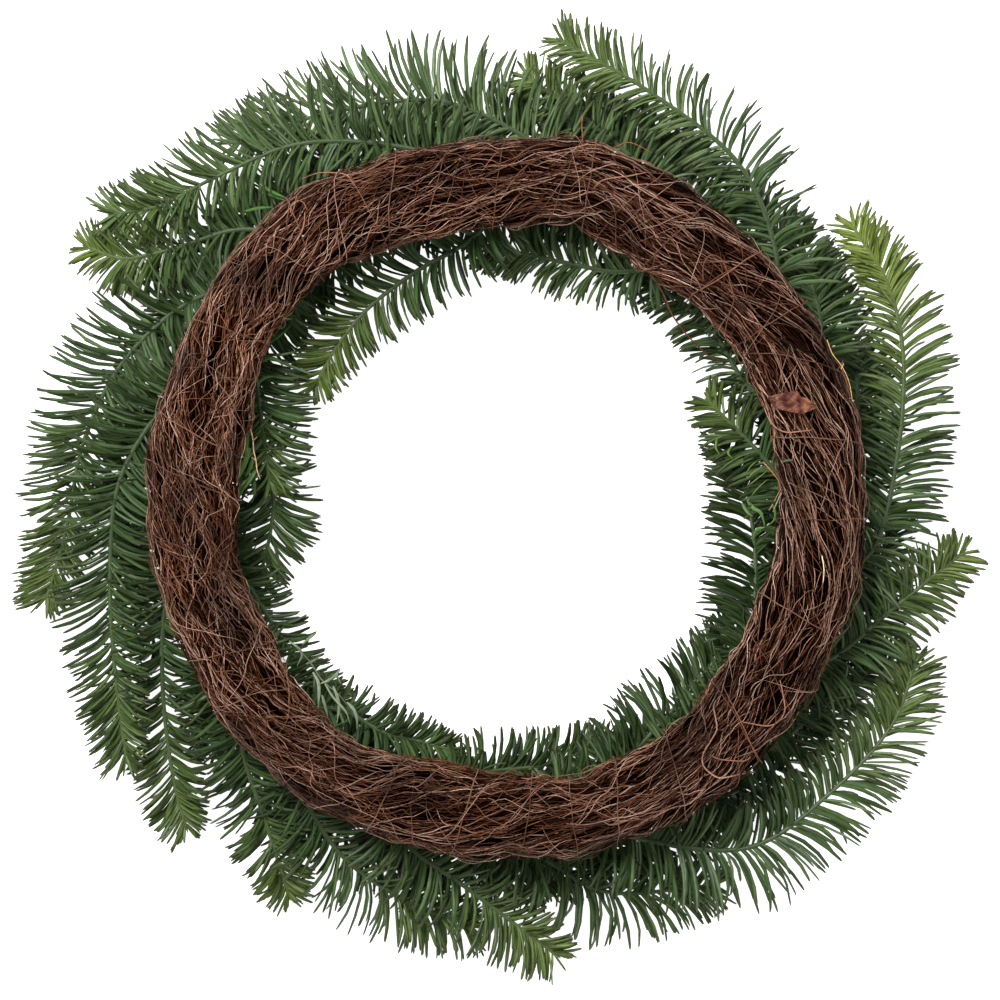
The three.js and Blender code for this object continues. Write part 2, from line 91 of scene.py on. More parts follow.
# Each spray: stem points as (angle, distance from the ring's centre, drop below the ring), the length of
# its needles on the side of the hole and on the outer side, how yellow its young end is, how light it is
OUTER_SPRAYS = [
    ([(96, 208, 4), (105, 231, 8), (120, 262, 10), (132, 277, 12), (140, 291, 14), (144, 310, 16)],
     (40, 42), 0.2, 0.58),
    ([(78, 208, 4), (88, 234, 20), (100, 259, 27), (115, 273, 29), (127, 286, 32)], (33, 46), 0.1, 0.9),
    ([(128, 212, 4), (135, 243, 10), (143, 266, 14), (148, 290, 17), (149, 312, 20)], (35, 37), 0.5, 0.34),
    ([(35, 208, 4), (42, 232, 7), (55, 260, 8), (70, 275, 10), (83, 295, 14)], (33, 38), 0.32, 0.64),
    ([(62, 210, 4), (68, 229, 16), (77, 246, 24), (87, 271, 29)], (30, 32), 0.45, 0.6),
    ([(50, 210, 4), (59, 230, 22), (70, 243, 34), (82, 249, 42)], (30, 33), 0.1, 0.5),
    ([(22, 210, 4), (29, 230, 12), (36, 241, 22), (41, 252, 30)], (31, 32), 0.1, 0.5),
    ([(344, 210, 4), (352, 236, 6), (365, 250, 8), (380, 270, 9), (389.5, 280, 11), (397.9, 282, 13)],
     (32, 38), 1.00, 0.52),
    ([(327, 208, 4), (334, 232, 8), (343, 254, 10), (353, 293, 14)], (33, 36), 0.45, 0.48),
    ([(284, 210, 4), (292, 235, 7), (305, 272, 8), (318, 280, 9), (330, 286, 10), (338, 282, 12)],
     (35, 42), 0.3, 0.5),
    ([(309, 208, 4), (317, 233, 18), (326, 242, 25), (339, 272, 32)], (32, 34), 0.2, 0.45),
    ([(268, 210, 4), (276, 232, 20), (284, 260, 27), (298, 282, 32)], (33, 39), 0.2, 0.45),
    ([(247, 208, 4), (254, 230, 8), (264, 250, 12), (271, 272, 15), (276, 293, 18)], (32, 38), 0.4, 0.45),
    ([(229, 210, 4), (237, 233, 12), (246, 253, 18), (257, 267, 22), (265, 275, 25)], (31, 40), 0.3, 0.4),
    ([(216, 212, 4), (224, 234, 10), (233, 257, 16), (241, 289, 22)], (32, 34), 0.35, 0.22),
    ([(188, 208, 4), (197, 228, 16), (209, 252, 23), (221, 282, 27), (225.5, 294, 30)],
     (32, 38), 0.3, 0.22),
    ([(158, 210, 4), (167, 230, 6), (178, 248, 8), (192, 259, 10), (204, 274, 12), (214, 294, 14)],
     (32, 43), 0.2, 0.31),
    ([(140, 212, 4), (148, 238, 14), (160, 260, 18), (172, 273, 21), (184, 283, 23), (192, 301, 25)],
     (32, 43), 0.35, 0.41),
    ([(206, 206, 4), (213, 222, 22), (221, 248, 38)], (27, 30), 0.15, 0.3),
]
INNER_SPRAYS = [
    ([(88, 196, 4), (98, 167, 10), (112, 156, 12), (127, 150, 13), (140, 145, 14), (149, 142, 16)],
     (31, 36), 0.45, 0.27),
    ([(54, 190, 4), (63, 163, 18), (76, 156, 25), (87, 158, 29), (96, 160, 32)], (28, 30), 0.2, 0.45),
    ([(16, 194, 4), (25, 171, 18), (40, 171, 26), (54, 168, 32), (66, 165, 36)], (27, 27), 0.15, 0.42),
    ([(354, 194, 4), (363, 178, 9), (371, 163, 10), (385, 144, 12)], (32, 34), 0.35, 0.42),
    ([(324, 194, 4), (333, 178, 20), (346, 165, 27), (360, 155, 30), (373, 146, 32)], (36, 30), 0.15, 0.0),
    ([(286, 195, 4), (295, 184, 18), (308, 173, 28), (320, 170, 34), (331, 171, 38)], (35, 28), 0.1, 0.33),
    ([(256, 193, 4), (266, 176, 20), (277, 173, 27), (286, 170, 32), (293, 171, 35)], (28, 26), 0.1, 0.4),
    ([(224, 193, 4), (232, 172, 12), (242, 169, 14), (251, 165, 15), (258, 165, 16)], (23, 22), 0.15, 0.22),
    ([(188, 193, 4), (198, 175, 20), (210, 170, 27), (224, 171, 32), (238, 173, 36)], (22, 23), 0.2, 0.25),
    ([(146, 196, 4), (155, 176, 10), (165, 161, 12), (176, 152, 14)], (38, 32), 0.2, 0.5),
    ([(168, 194, 4), (172, 162, 20), (179, 150, 27), (188, 153, 30), (197, 165, 33)], (36, 32), 0.15, 0.38),
]

# Small sprays low down that fill in behind the others, along both edges of the ring
FILL_TURNS = (0, 9, 20, 32)
FILL_DROPS = (5, 20, 31, 40)
FILL_SHIFTS = (4, 3)
OUTER_FILL = {
    "count": 21, "first": 4, "reaches": (212, 230, 243, 249), "needles": (27, 30), "skip": (2, 11),
}
INNER_FILL = {
    "count": 15, "first": 12, "reaches": (192, 186, 183, 184), "needles": (23, 22), "skip": (),
}
FILL_YOUTH = 0.05
FILL_LIGHTNESS = 0.45

# The hidden front: sprays that lean out and in by turns, and end on the surface below
FRONT_COUNT = 12
FRONT_FIRST = 10
FRONT_TURNS = (0, 10, 22, 34, 44)
FRONT_DROPS = (4, 28, 44, 54, 55)
FRONT_REACHES = ((204, 207, 212, 219, 228), (204, 201, 197, 190, 180))
FRONT_NEEDLES = (26, 26)
FRONT_YOUTH = 0.3
FRONT_LIGHTNESS = 0.45

# Stems, each with a short nib at its end
ROOT_RISE = 2.5
BARE_ROOT = 14.0
STEM_STEP = 4.0
STEM_RADII = (1.85, 1.1)
STEM_SIDES = 8
STEM_KNOT = 0.08
STEM_KNOTS_PER_MM = 2.1
NIB = 6.0
NIB_RADIUS = 0.12

# Needles: groups of them along both sides, more of them near the tip, and rows on top and below, each row
# with its spacing, how high its needles point, and how much that varies
GROUP_SIZES = (2, 5)
GROUP_SPREAD = 1.9
GROUP_SHIFT = 2.2
SIDE_ELEVATION = (3, 19)
ROWS = ((14, 42, 9), (11, -38, 12))
ROW_SHIFT = 4
TIP_REACH = 52.0
TIP_NARROWER = 0.12
TIP_SHORTER = 0.47
NEEDLE_STRETCH = (0.94, 1.15)
STUNTED_SHARE = 0.12
STUNTED_LENGTH = 0.65
ROOT_LEANS = (56, 34)
END_LEANS = (92, 58)
LEAN_SPREADS = (6, 9)
NEEDLE_CURL = (4, 16)
NEEDLE_ROLL = 28
NEEDLE_WIDTHS = (0.75, 1.12)
NEEDLE_SIDES = 4
TONE_SPREAD = 0.2
YOUTH_SPREAD = 0.05

# The fan of short needles at a tip
FAN_COUNT = 10
FAN_HALF_TURN = 160
FAN_LENGTHS = (0.27, 0.43)
FAN_ROOT_LEANS = (8, 34)
FAN_END_LEANS = (18, 48)
FAN_SHIFT = 10
FAN_CURL = 12

# Needles that hit the ring or the surface below turn away from it by steps
DODGES = 5
DODGE_STEP = 16
LOWEST_LINE = 1.0
LOWEST_KEPT = 0.6

# Stations along each needle, and its shape there
FULL = {
    "spacings": (5.8, 6.8),
    "more_at_tip": 16,
    "half_width": 1.38,
    "at": np.array([0.0, 0.15, 0.4, 0.7, 0.94, 1.0]),
    "widths": np.array([0.5, 0.86, 1.0, 0.92, 0.66, 0.34]),
    "depths": np.array([0.7, 0.76, 0.8, 0.72, 0.56, 0.3]),
}
PLAIN = {
    "spacings": (6.8, 7.8),
    "more_at_tip": 8,
    "half_width": 1.6,
    "at": np.array([0.0, 0.28, 0.72, 1.0]),
    "widths": np.array([0.6, 1.0, 0.88, 0.42]),
    "depths": np.array([0.7, 0.78, 0.62, 0.3]),
}
OPEN = {**FULL, "spacings": (5.8, 10.5)}
OPEN_SPRAYS = ("outer_04",)


def unit(vectors):
    return vectors / np.linalg.norm(vectors, axis=-1, keepdims=True)


def lerp(low, high, share):
    return low + (high - low) * share


def stacked(*parts):
    """One array from several, side by side along a new last axis"""
    return np.stack(np.broadcast_arrays(*parts), axis=-1)


def curve_through(knots, step):
    """Evenly spaced points on a smooth curve through the knots, and how far along it each one is"""
    ends = [2 * knots[0] - knots[1], *knots, 2 * knots[-1] - knots[-2]]
    t = np.linspace(0, 1, 40, endpoint=False)[:, None]
    stretches = []
    for before, here, there, after in zip(ends, ends[1:], ends[2:], ends[3:]):
        a, b, c = (np.linalg.norm(q - p) ** 0.5 for p, q in ((before, here), (here, there), (there, after)))
        leave = b * ((here - before) / a - (there - before) / (a + b) + (there - here) / b)
        arrive = b * ((there - here) / b - (after - here) / (b + c) + (after - there) / c)
        stretches.append((2 * t ** 3 - 3 * t ** 2 + 1) * here + (t ** 3 - 2 * t ** 2 + t) * leave
                         + (3 * t ** 2 - 2 * t ** 3) * there + (t ** 3 - t ** 2) * arrive)
    dense = np.vstack([*stretches, knots[-1:]])
    travelled = np.append(0, np.cumsum(np.linalg.norm(np.diff(dense, axis=0), axis=1)))
    stations = np.linspace(0, travelled[-1], int(travelled[-1] / step) + 1)
    return at_stations(travelled, dense, stations), stations


def at_stations(stations, values, where):
    return np.stack([np.interp(where, stations, values[:, k]) for k in range(3)], axis=-1)


def from_picture(right, down, height):
    """The place at a height whose picture is so many pixels right and down"""
    scale = PIXEL * (CAMERA_HEIGHT - height) / (CAMERA_HEIGHT - PIXEL_HEIGHT)
    middle = PICTURE_WIDTH / 2
    return np.array([(right - middle) * scale, (middle - down) * scale, height])


# Meshes from many closed tubes at once
def tubes(centres, hint, half_width, half_depth, sides, tint, slot=0):
    """centres and tint are (tubes, stations, 3), and hint points out of each tube's flat side.
    A tint says how far along a place is, how light it is, and how warm or young. A fourth one is added
    here, and says how near a corner is to the middle of the flat side."""
    along = unit(np.gradient(centres, axis=1))
    side = unit(np.cross(np.broadcast_to(hint, centres.shape), along))
    up = np.cross(along, side)
    turn = 2 * np.pi * np.arange(sides) / sides
    wide = (half_width[..., None] * np.cos(turn))[..., None] * side[:, :, None]
    deep = (half_depth[..., None] * np.sin(turn))[..., None] * up[:, :, None]
    points = centres[:, :, None] + wide + deep
    # The needle and vine materials paint shade at the edges and a highlight near the middle from this
    middle = np.broadcast_to(np.abs(np.sin(turn)), points.shape[:3])[..., None]
    tints = np.concatenate([np.broadcast_to(tint[:, :, None], points.shape), middle], axis=-1)
    return skins(points, tints, slot)


def skins(points, tints, slot=0):
    """Closed skins from rings of points: (skins, rings, points in a ring, 3)"""
    count, stations, sides = points.shape[:3]
    number = np.arange(count * stations * sides).reshape(count, stations, sides)
    onward = np.roll(number, -1, axis=2)
    quads = stacked(number[:, :-1], onward[:, :-1], onward[:, 1:], number[:, 1:])
    first, last = number[:, 0], number[:, -1]
    caps = [stacked(first[:, 0], first[:, k + 1], first[:, k]) for k in range(1, sides - 1)]
    caps += [stacked(last[:, 0], last[:, k], last[:, k + 1]) for k in range(1, sides - 1)]
    return {
        "points": points.reshape(-1, 3),
        "quads": quads.reshape(-1, 4),
        "triangles": np.concatenate(caps),
        "tints": tints.reshape(-1, 4),
        "slot": slot,
    }


def make_piece(name, parts, materials, nodes=(), sharp=40):
    base = 0
    loops, sizes, slots = [], [], []
    for part in parts:
        for kind in ("quads", "triangles"):
            faces = part[kind]
            loops.append((faces + base).ravel())
            sizes.append(np.full(len(faces), faces.shape[1]))
            slots.append(np.full(len(faces), part["slot"]))
        base += len(part["points"])
    loops, sizes, slots = (np.concatenate(each).astype(np.int32) for each in (loops, sizes, slots))
    points = np.concatenate([part["points"] for part in parts]) * MM
    tints = np.concatenate([part["tints"] for part in parts])
    mesh = bpy.data.meshes.new(name)
    mesh.vertices.add(len(points))
    mesh.vertices.foreach_set("co", points.astype(np.float32).ravel())
    mesh.loops.add(len(loops))
    mesh.loops.foreach_set("vertex_index", loops)
    mesh.polygons.add(len(sizes))
    mesh.polygons.foreach_set("loop_start", (np.cumsum(sizes) - sizes).astype(np.int32))
    mesh.polygons.foreach_set("material_index", slots)
    mesh.update(calc_edges=True)
    mesh.validate()
    colours = mesh.attributes.new("tint", "FLOAT_COLOR", "POINT")
    colours.data.foreach_set("color", tints.astype(np.float32).ravel())
    mesh.shade_smooth()
    mesh.set_sharp_from_angle(angle=math.radians(sharp))
    for material in materials:
        mesh.materials.append(material)
    piece = bpy.data.objects.new(name, mesh)
    bpy.context.scene.collection.objects.link(piece)
    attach(piece, "root")
    if nodes:
        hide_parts(*nodes)


# Procedural materials
class Shader:
    """A principled material with small helpers that add and link nodes"""

    def __init__(self, name, roughness):
        self.material = bpy.data.materials.new(name)
        self.material.use_nodes = True
        self.tree = self.material.node_tree
        self.surface = self.tree.nodes["Principled BSDF"]
        self.finish({"Roughness": roughness})

    def node(self, kind):
        return self.tree.nodes.new("ShaderNode" + kind)

    def feed(self, node, values):
        """Links or sets a node's inputs, each by its name or number"""
        for key, value in values.items():
            if isinstance(value, bpy.types.NodeSocket):
                self.tree.links.new(value, node.inputs[key])
            elif isinstance(value, tuple):
                node.inputs[key].default_value = (*value, 1)
            else:
                node.inputs[key].default_value = value

    def finish(self, values):
        self.feed(self.surface, values)

    def tint(self):
        attribute = self.node("Attribute")
        attribute.attribute_name = "tint"
        split = self.node("SeparateColor")
        self.feed(split, {"Color": attribute.outputs["Color"]})
        channels = [split.outputs[name] for name in ("Red", "Green", "Blue")]
        return *channels, attribute.outputs["Alpha"]

    def noise(self, scale, detail=3):
        place = self.node("TexCoord")
        noise = self.node("TexNoise")
        self.feed(noise, {"Vector": place.outputs["Object"], "Scale": scale, "Detail": detail})
        return noise.outputs["Fac"]

    def ramp(self, value, stops):
        ramp = self.node("ValToRGB")
        elements = ramp.color_ramp.elements
        while len(elements) < len(stops):
            elements.new(0.5)
        for element, (position, colour) in zip(elements, stops):
            element.position = position
            element.color = (*colour, 1)
        self.feed(ramp, {"Fac": value})
        return ramp.outputs["Color"]

    def mix(self, share, first, second, blend="MIX"):
        mix = self.node("Mix")
        mix.data_type = "RGBA"
        mix.blend_type = blend
        enabled = [number for number, socket in enumerate(mix.inputs) if socket.enabled]
        self.feed(mix, dict(zip(enabled, (share, first, second))))
        return next(socket for socket in mix.outputs if socket.enabled)

    def scaled(self, value, low, high, out_low, out_high):
        scale = self.node("MapRange")
        limits = {"From Min": low, "From Max": high, "To Min": out_low, "To Max": out_high}
        self.feed(scale, {"Value": value, **limits})
        return scale.outputs["Result"]

    def math(self, operation, first, second):
        node = self.node("Math")
        node.operation = operation
        self.feed(node, {0: first, 1: second})
        return node.outputs["Value"]

    def colour(self, output):
        self.finish({"Base Color": output})

    def roughness(self, output):
        self.finish({"Roughness": output})

    def shine(self, level):
        self.finish({"Specular IOR Level": level})

    def bump(self, height, strength, distance):
        bump = self.node("Bump")
        self.feed(bump, {"Strength": strength, "Distance": distance * MM, "Height": height})
        self.finish({"Normal": bump.outputs["Normal"]})


def needle_material(name, dark, middling, light):
    """Green, yellower where young, with a painted highlight beside the dark rib and painted shade at the
    edges, and brown at the tip
    """
    shader = Shader(name, 0.5)
    shader.shine(0.2)
    along, tone, youth, middle = shader.tint()
    green = shader.ramp(tone, [(0.0, dark), (0.5, middling), (1.0, light)])
    young = shader.ramp(tone, [(0.0, (0.15, 0.2, 0.022)), (1.0, (0.29, 0.36, 0.085))])
    aged = shader.mix(youth, green, young)
    # Painted light across each needle: painted shade at its edges, a cool painted highlight beside the rib
    painted_sheen_and_edge_shade = shader.ramp(middle, [
        (0.0, (0.34, 0.38, 0.28)),
        (0.4, (0.95, 0.95, 0.92)),
        (0.74, (1.42, 1.44, 1.58)),
        (0.96, (0.75, 0.76, 0.68)),
    ])
    blended = shader.mix(1.0, aged, painted_sheen_and_edge_shade, "MULTIPLY")
    mottle = shader.scaled(shader.noise(260), 0.3, 0.7, 0.0, 0.35)
    mottled = shader.mix(mottle, blended, (0.022, 0.045, 0.01))
    tip = shader.scaled(along, 0.72, 0.98, 0.0, 0.65)
    shader.colour(shader.mix(tip, mottled, (0.034, 0.036, 0.015)))
    shader.roughness(shader.scaled(shader.noise(500), 0.3, 0.7, 0.36, 0.55))
    shader.bump(shader.noise(1500, 2), 0.25, 0.25)
    return shader.material


def stem_material():
    shader = Shader("stem", 0.55)
    along, _, youth, _ = shader.tint()
    green = shader.ramp(along, [
        (0.0, (0.06, 0.055, 0.022)),
        (0.15, (0.03, 0.06, 0.015)),
        (1.0, (0.048, 0.092, 0.022)),
    ])
    young = shader.mix(youth, green, (0.16, 0.2, 0.045))
    patches = shader.scaled(shader.noise(300, 4), 0.35, 0.7, 0.0, 0.5)
    shader.colour(shader.mix(patches, young, (0.05, 0.06, 0.028)))
    shader.bump(shader.noise(900), 0.5, 0.5)
    return shader.material


def leaf_material():
    """Mottled brown, with a paler rib and dark side veins, and painted light and shade along it"""
    shader = Shader("withered_leaf", 0.7)
    shader.shine(0.15)
    along, across, _, _ = shader.tint()
    brown = shader.ramp(shader.noise(170, 5), [
        (0.4, (0.062, 0.022, 0.015)),
        (0.5, (0.175, 0.068, 0.046)),
        (0.62, (0.33, 0.15, 0.098)),
    ])
    count = shader.math("ADD", shader.math("MULTIPLY", along, 12.0), shader.math("MULTIPLY", across, 2.8))
    veins = shader.scaled(shader.math("PINGPONG", count, 0.5), 0.0, 0.14, 0.75, 0.0)
    veined = shader.mix(veins, brown, (0.055, 0.022, 0.015))
    rib = shader.scaled(across, 0.02, 0.1, 0.7, 0.0)
    ribbed = shader.mix(rib, veined, (0.24, 0.1, 0.055))
    # Painted light and shade along the bent leaf: darker from a fifth to two thirds of the way, lighter
    # past four fifths
    painted_light_and_shade = shader.ramp(along, [
        (0.22, (1.0, 1.0, 1.0)),
        (0.36, (0.55, 0.45, 0.46)),
        (0.62, (0.75, 0.62, 0.62)),
        (0.82, (1.2, 1.12, 0.9)),
    ])
    shader.colour(shader.mix(1.0, ribbed, painted_light_and_shade, "MULTIPLY"))
    shader.bump(shader.noise(600, 4), 0.6, 0.5)
    return shader.material


def pale_material():
    shader = Shader("pale_speck", 0.25)
    cloudy = shader.ramp(shader.noise(900), [(0.3, (0.34, 0.3, 0.25)), (0.7, (0.72, 0.68, 0.62))])
    shader.colour(cloudy)
    shader.bump(shader.noise(1200), 0.4, 0.3)
    return shader.material


def vine_material(name, darkest, dark, middling, lightest, roughness, mottling=1.0):
    """Brown bark from dark to light, some of it warmer, streaked and with dark patches, with painted shade
    at the edges and a painted highlight along the middle
    """
    shader = Shader(name, roughness)
    _, tone, warmth, middle = shader.tint()
    shader.shine(shader.scaled(tone, 0, 1, 0.0, 0.22))
    brown = shader.ramp(tone, [(0.0, darkest), (0.3, dark), (0.62, middling), (1.0, lightest)])
    warm = shader.mix(shader.scaled(warmth, 0, 1, 0, 0.75), brown, (0.42, 0.14, 0.042))
    streaks = shader.scaled(shader.noise(700, 4), 0.35, 0.7, 0.0, 0.5 * mottling)
    streaked = shader.mix(streaks, warm, (0.022, 0.006, 0.002))
    # Dark patches from a coarse noise
    patches = shader.scaled(shader.noise(26, 2), 0.46, 0.68, 0.0, 0.6 * mottling)
    patched = shader.mix(patches, streaked, (0.01, 0.004, 0.003))
    # Painted light across each strand: painted shade at its edges, a painted highlight along its middle
    painted_side_shade_and_highlight = shader.ramp(middle, [(0.0, (0.26, 0.21, 0.19)), (0.75, (1.22, 1.22, 1.22))])
    shader.colour(shader.mix(1.0, patched, painted_side_shade_and_highlight, "MULTIPLY"))
    shader.roughness(shader.scaled(shader.noise(900), 0.3, 0.7, roughness - 0.1, roughness + 0.15))
    shader.bump(shader.noise(2200, 3), 0.5, 0.3)
    return shader.material


NEEDLE = needle_material("needle", (0.02, 0.041, 0.012), (0.055, 0.098, 0.034), (0.134, 0.196, 0.086))
DUSTY = needle_material("dusty_leaf", (0.06, 0.085, 0.048), (0.14, 0.185, 0.11), (0.27, 0.32, 0.21))
FRESH = needle_material("fresh_leaf", (0.02, 0.056, 0.012), (0.046, 0.124, 0.026), (0.1, 0.22, 0.052))
STEM = stem_material()
LEAF = leaf_material()
PALE = pale_material()
# The vine's darkest stop, near black, is painted shade: the core and the deep strands take it
VINE = vine_material(
    "vine_bark", (0.0016, 0.0003, 0.0001), (0.018, 0.0042, 0.0018), (0.235, 0.098, 0.055),
    (0.84, 0.57, 0.44), roughness=0.45)
BINDING = vine_material(
    "binding_bark", (0.02, 0.008, 0.005), (0.06, 0.027, 0.018), (0.14, 0.068, 0.045),
    (0.34, 0.2, 0.14), roughness=0.42)
STRAW = vine_material(
    "straw", (0.16, 0.05, 0.02), (0.5, 0.17, 0.06), (0.74, 0.42, 0.15),
    (0.92, 0.74, 0.46), roughness=0.5, mottling=0.2)


# The ring of vine
def smoothed(values):
    values = np.array(values, float)
    return (np.roll(values, 1) + 6 * values + np.roll(values, -1)) / 8


INNER_LINE = smoothed(INNER_EDGE)
OUTER_LINE = smoothed(OUTER_EDGE)


def edge_at(line, round_angle):
    steps = np.arange(len(line) + 1) * EDGE_STEP
    return np.interp(np.degrees(round_angle) % 360, steps, np.append(line, line[0]))


SWELL = 1.6
TWIST = 9.0
TWIST_SWINGS = (9, 7)

# A near-black core under the strands: painted shade that darkens the gaps between them
CORE_GRID = (240, 40)
CORE_SUNK = 3.6
CORE_ROUGH = 0.5


def ring_section(round_angle):
    inner, outer = edge_at(INNER_LINE, round_angle), edge_at(OUTER_LINE, round_angle)
    return (inner + outer) / 2, (outer - inner) / 2 - EDGE_INSET


def ring_surface(round_angle, section, proud):
    """Points on the bundle; section is 0 on the back and 90 degrees at the hole"""
    middle, half = ring_section(round_angle)
    swell = (np.sin(5 * round_angle + 2 * section) * np.sin(11 * round_angle - section + 1)
             + 0.6 * np.sin(23 * round_angle + 3 * section)
             + 0.3 * np.sin(53 * round_angle - 4 * section + 2))
    proud = proud + SWELL * swell
    reach = middle - (half + proud) * np.sin(section)
    height = RING_HEIGHT + (RING_HALF_DEPTH + proud) * np.cos(section)
    over = height - (FLAT_BACK + proud - FLAT_BLEND)
    height = np.where(over > 0, height - over + FLAT_BLEND * (1 - np.exp(-over / FLAT_BLEND)), height)
    right = RING_CENTRE[0] + reach * np.cos(round_angle)
    back = RING_CENTRE[1] + reach * np.sin(round_angle)
    return stacked(right, back, height)


def bundle_normal(round_angle, section):
    outwards = -np.sin(section)
    return stacked(outwards * np.cos(round_angle), outwards * np.sin(round_angle), np.cos(section))


def make_shade_core():
    rounds, sections = CORE_GRID
    round_angle, section = np.meshgrid(
        np.linspace(0, 2 * np.pi, rounds, endpoint=False),
        -np.linspace(0, 2 * np.pi, sections, endpoint=False), indexing="ij")
    points = ring_surface(round_angle, section, chance.normal(-CORE_SUNK, CORE_ROUGH, round_angle.shape))
    number = np.arange(rounds * sections).reshape(rounds, sections)
    onward, across = np.roll(number, -1, axis=0), np.roll(number, -1, axis=1)
    both = np.roll(onward, -1, axis=1)
    part = {
        "points": points.reshape(-1, 3),
        "quads": stacked(number, onward, both, across).reshape(-1, 4),
        "triangles": np.zeros((0, 3), int),
        "tints": np.zeros((rounds * sections, 4)),
        "slot": 0,
    }
    make_piece("vine_shade_core", [part], [VINE], ["vine_ring"], sharp=SMOOTH)


def twist_at(round_angle, section):
    """How steeply the strands slant across the bundle at a place"""
    slant = (TWIST + TWIST_SWINGS[0] * np.sin(3 * round_angle + 2 * section + 1.0)
             + TWIST_SWINGS[1] * np.sin(8 * round_angle - section + 2.2))
    return np.tan(np.radians(slant))


# Locks of strands: how far apart their strands lie. The vine lies less tidily on one side of the ring, and
# single strands crowd there. The strands there are also painted lighter, and those opposite darker, as
# painted light from that side
LOCK_LENGTH = 14.0
LOCK_WIDTH = 2.8
UNTIDY = 0.45
UNTIDY_AT = 190.0
CROWDING = 0.14

# Multiples of the golden share lie evenly round the bundle, drawn a little to the middle of its back
GOLDEN_SHARE = 0.618034
PLACE_SHIFT = 0.12
TO_MIDDLE = 0.28

# How strands wander: wavelengths, a share of the whole wave, and how far a strand strays from its lock
WANDERS = (((50, 95), 1.0, 0.5), ((22, 40), 0.42, 1.2), ((10, 17), 0.14, np.pi))
WANDER_RANGE = (0.2, 1.3)
RISE_RANGE = (0.1, 0.9)
RISE_WAVELENGTH = 24
END_SUNK = 1.4
MEAN_REACH = 203.0
MEAN_SECTION_RADIUS = 26.0
STRAND_SIDES = 3


def make_strands(name, count, lock, lengths, proud, slope, wave, radius, tone, spread, stations,
                 lift, about):
    """Thin vine strands that run round the bundle in locks of a few and wander across it together"""
    def pick(low, high):
        return chance.uniform(low, high, (count * lock, 1))

    def shared(low, high):
        return np.repeat(chance.uniform(low, high, (count, 1)), lock, axis=0)

    s = np.linspace(0, 1, stations)[None]
    length = pick(*lengths)
    number = np.repeat(np.arange(count)[:, None], lock, axis=0)
    middle_angle = 2 * np.pi * (number + shared(0, 1)) / count
    middle_angle = middle_angle - (lock == 1) * CROWDING * np.sin(middle_angle - np.radians(UNTIDY_AT))
    untidy_and_lit = 1 + UNTIDY * np.cos(middle_angle - np.radians(UNTIDY_AT))
    place = 2 * ((number * GOLDEN_SHARE + shared(0, PLACE_SHIFT)) % 1) - 1
    section = np.radians(about + spread * place * shared(0, 1) ** TO_MIDDLE)

    # Across the bundle and along it
    lean = np.repeat(chance.normal(0, math.tan(math.radians(slope)), (count, 1)), lock, axis=0)
    travel = length * (s - 0.5) + (lock > 1) * pick(-LOCK_LENGTH, LOCK_LENGTH)
    across = (twist_at(middle_angle, section) + lean) * travel + (lock > 1) * pick(-LOCK_WIDTH, LOCK_WIDTH)
    drift = 0
    for wavelength, share, own in WANDERS:
        phase = 2 * np.pi * (travel / shared(*wavelength) + shared(0, 1)) + pick(-own, own)
        across = across + untidy_and_lit * wave * share * shared(*WANDER_RANGE) * np.sin(phase)
        drift = drift + untidy_and_lit * wave * share * 0.5 * shared(*WANDER_RANGE) * np.sin(0.8 * phase + 1)
    round_angle = middle_angle + (travel + drift) / MEAN_REACH
    section = section + across / MEAN_SECTION_RADIUS

    # Up and down, with both ends tucked in
    level = pick(*proud)
    ripple = pick(*RISE_RANGE) * np.sin(2 * np.pi * length * s / RISE_WAVELENGTH + pick(0, 2 * np.pi))
    rise = level + ripple + lift * pick(0.3, 1) * np.sin(np.pi * s) - END_SUNK * (2 * s - 1) ** 6
    centres = ring_surface(round_angle, section, rise)
    thick = pick(*radius) * (1 - 0.35 * np.abs(2 * s - 1) ** 3) * (1 + 0.08 * np.sin(9 * s + pick(0, 6)))
    # Painted light: strands a little lighter on the side where they lie less tidily, a little darker
    # opposite
    lightness = lerp(*tone, pick(0, 1) ** 1.32) * (0.93 + 0.07 * untidy_and_lit)
    shade = np.clip(lightness + 0.1 * lightness * np.sin(5 * s + pick(0, 6)), 0, 1)
    warmth = lightness * pick(0, 0.74) ** 1.45 * untidy_and_lit
    tint = stacked(s, shade, warmth)
    part = tubes(centres, bundle_normal(round_angle, section), thick, thick, STRAND_SIDES, tint)
    make_piece(name, [part], [VINE], sharp=150)


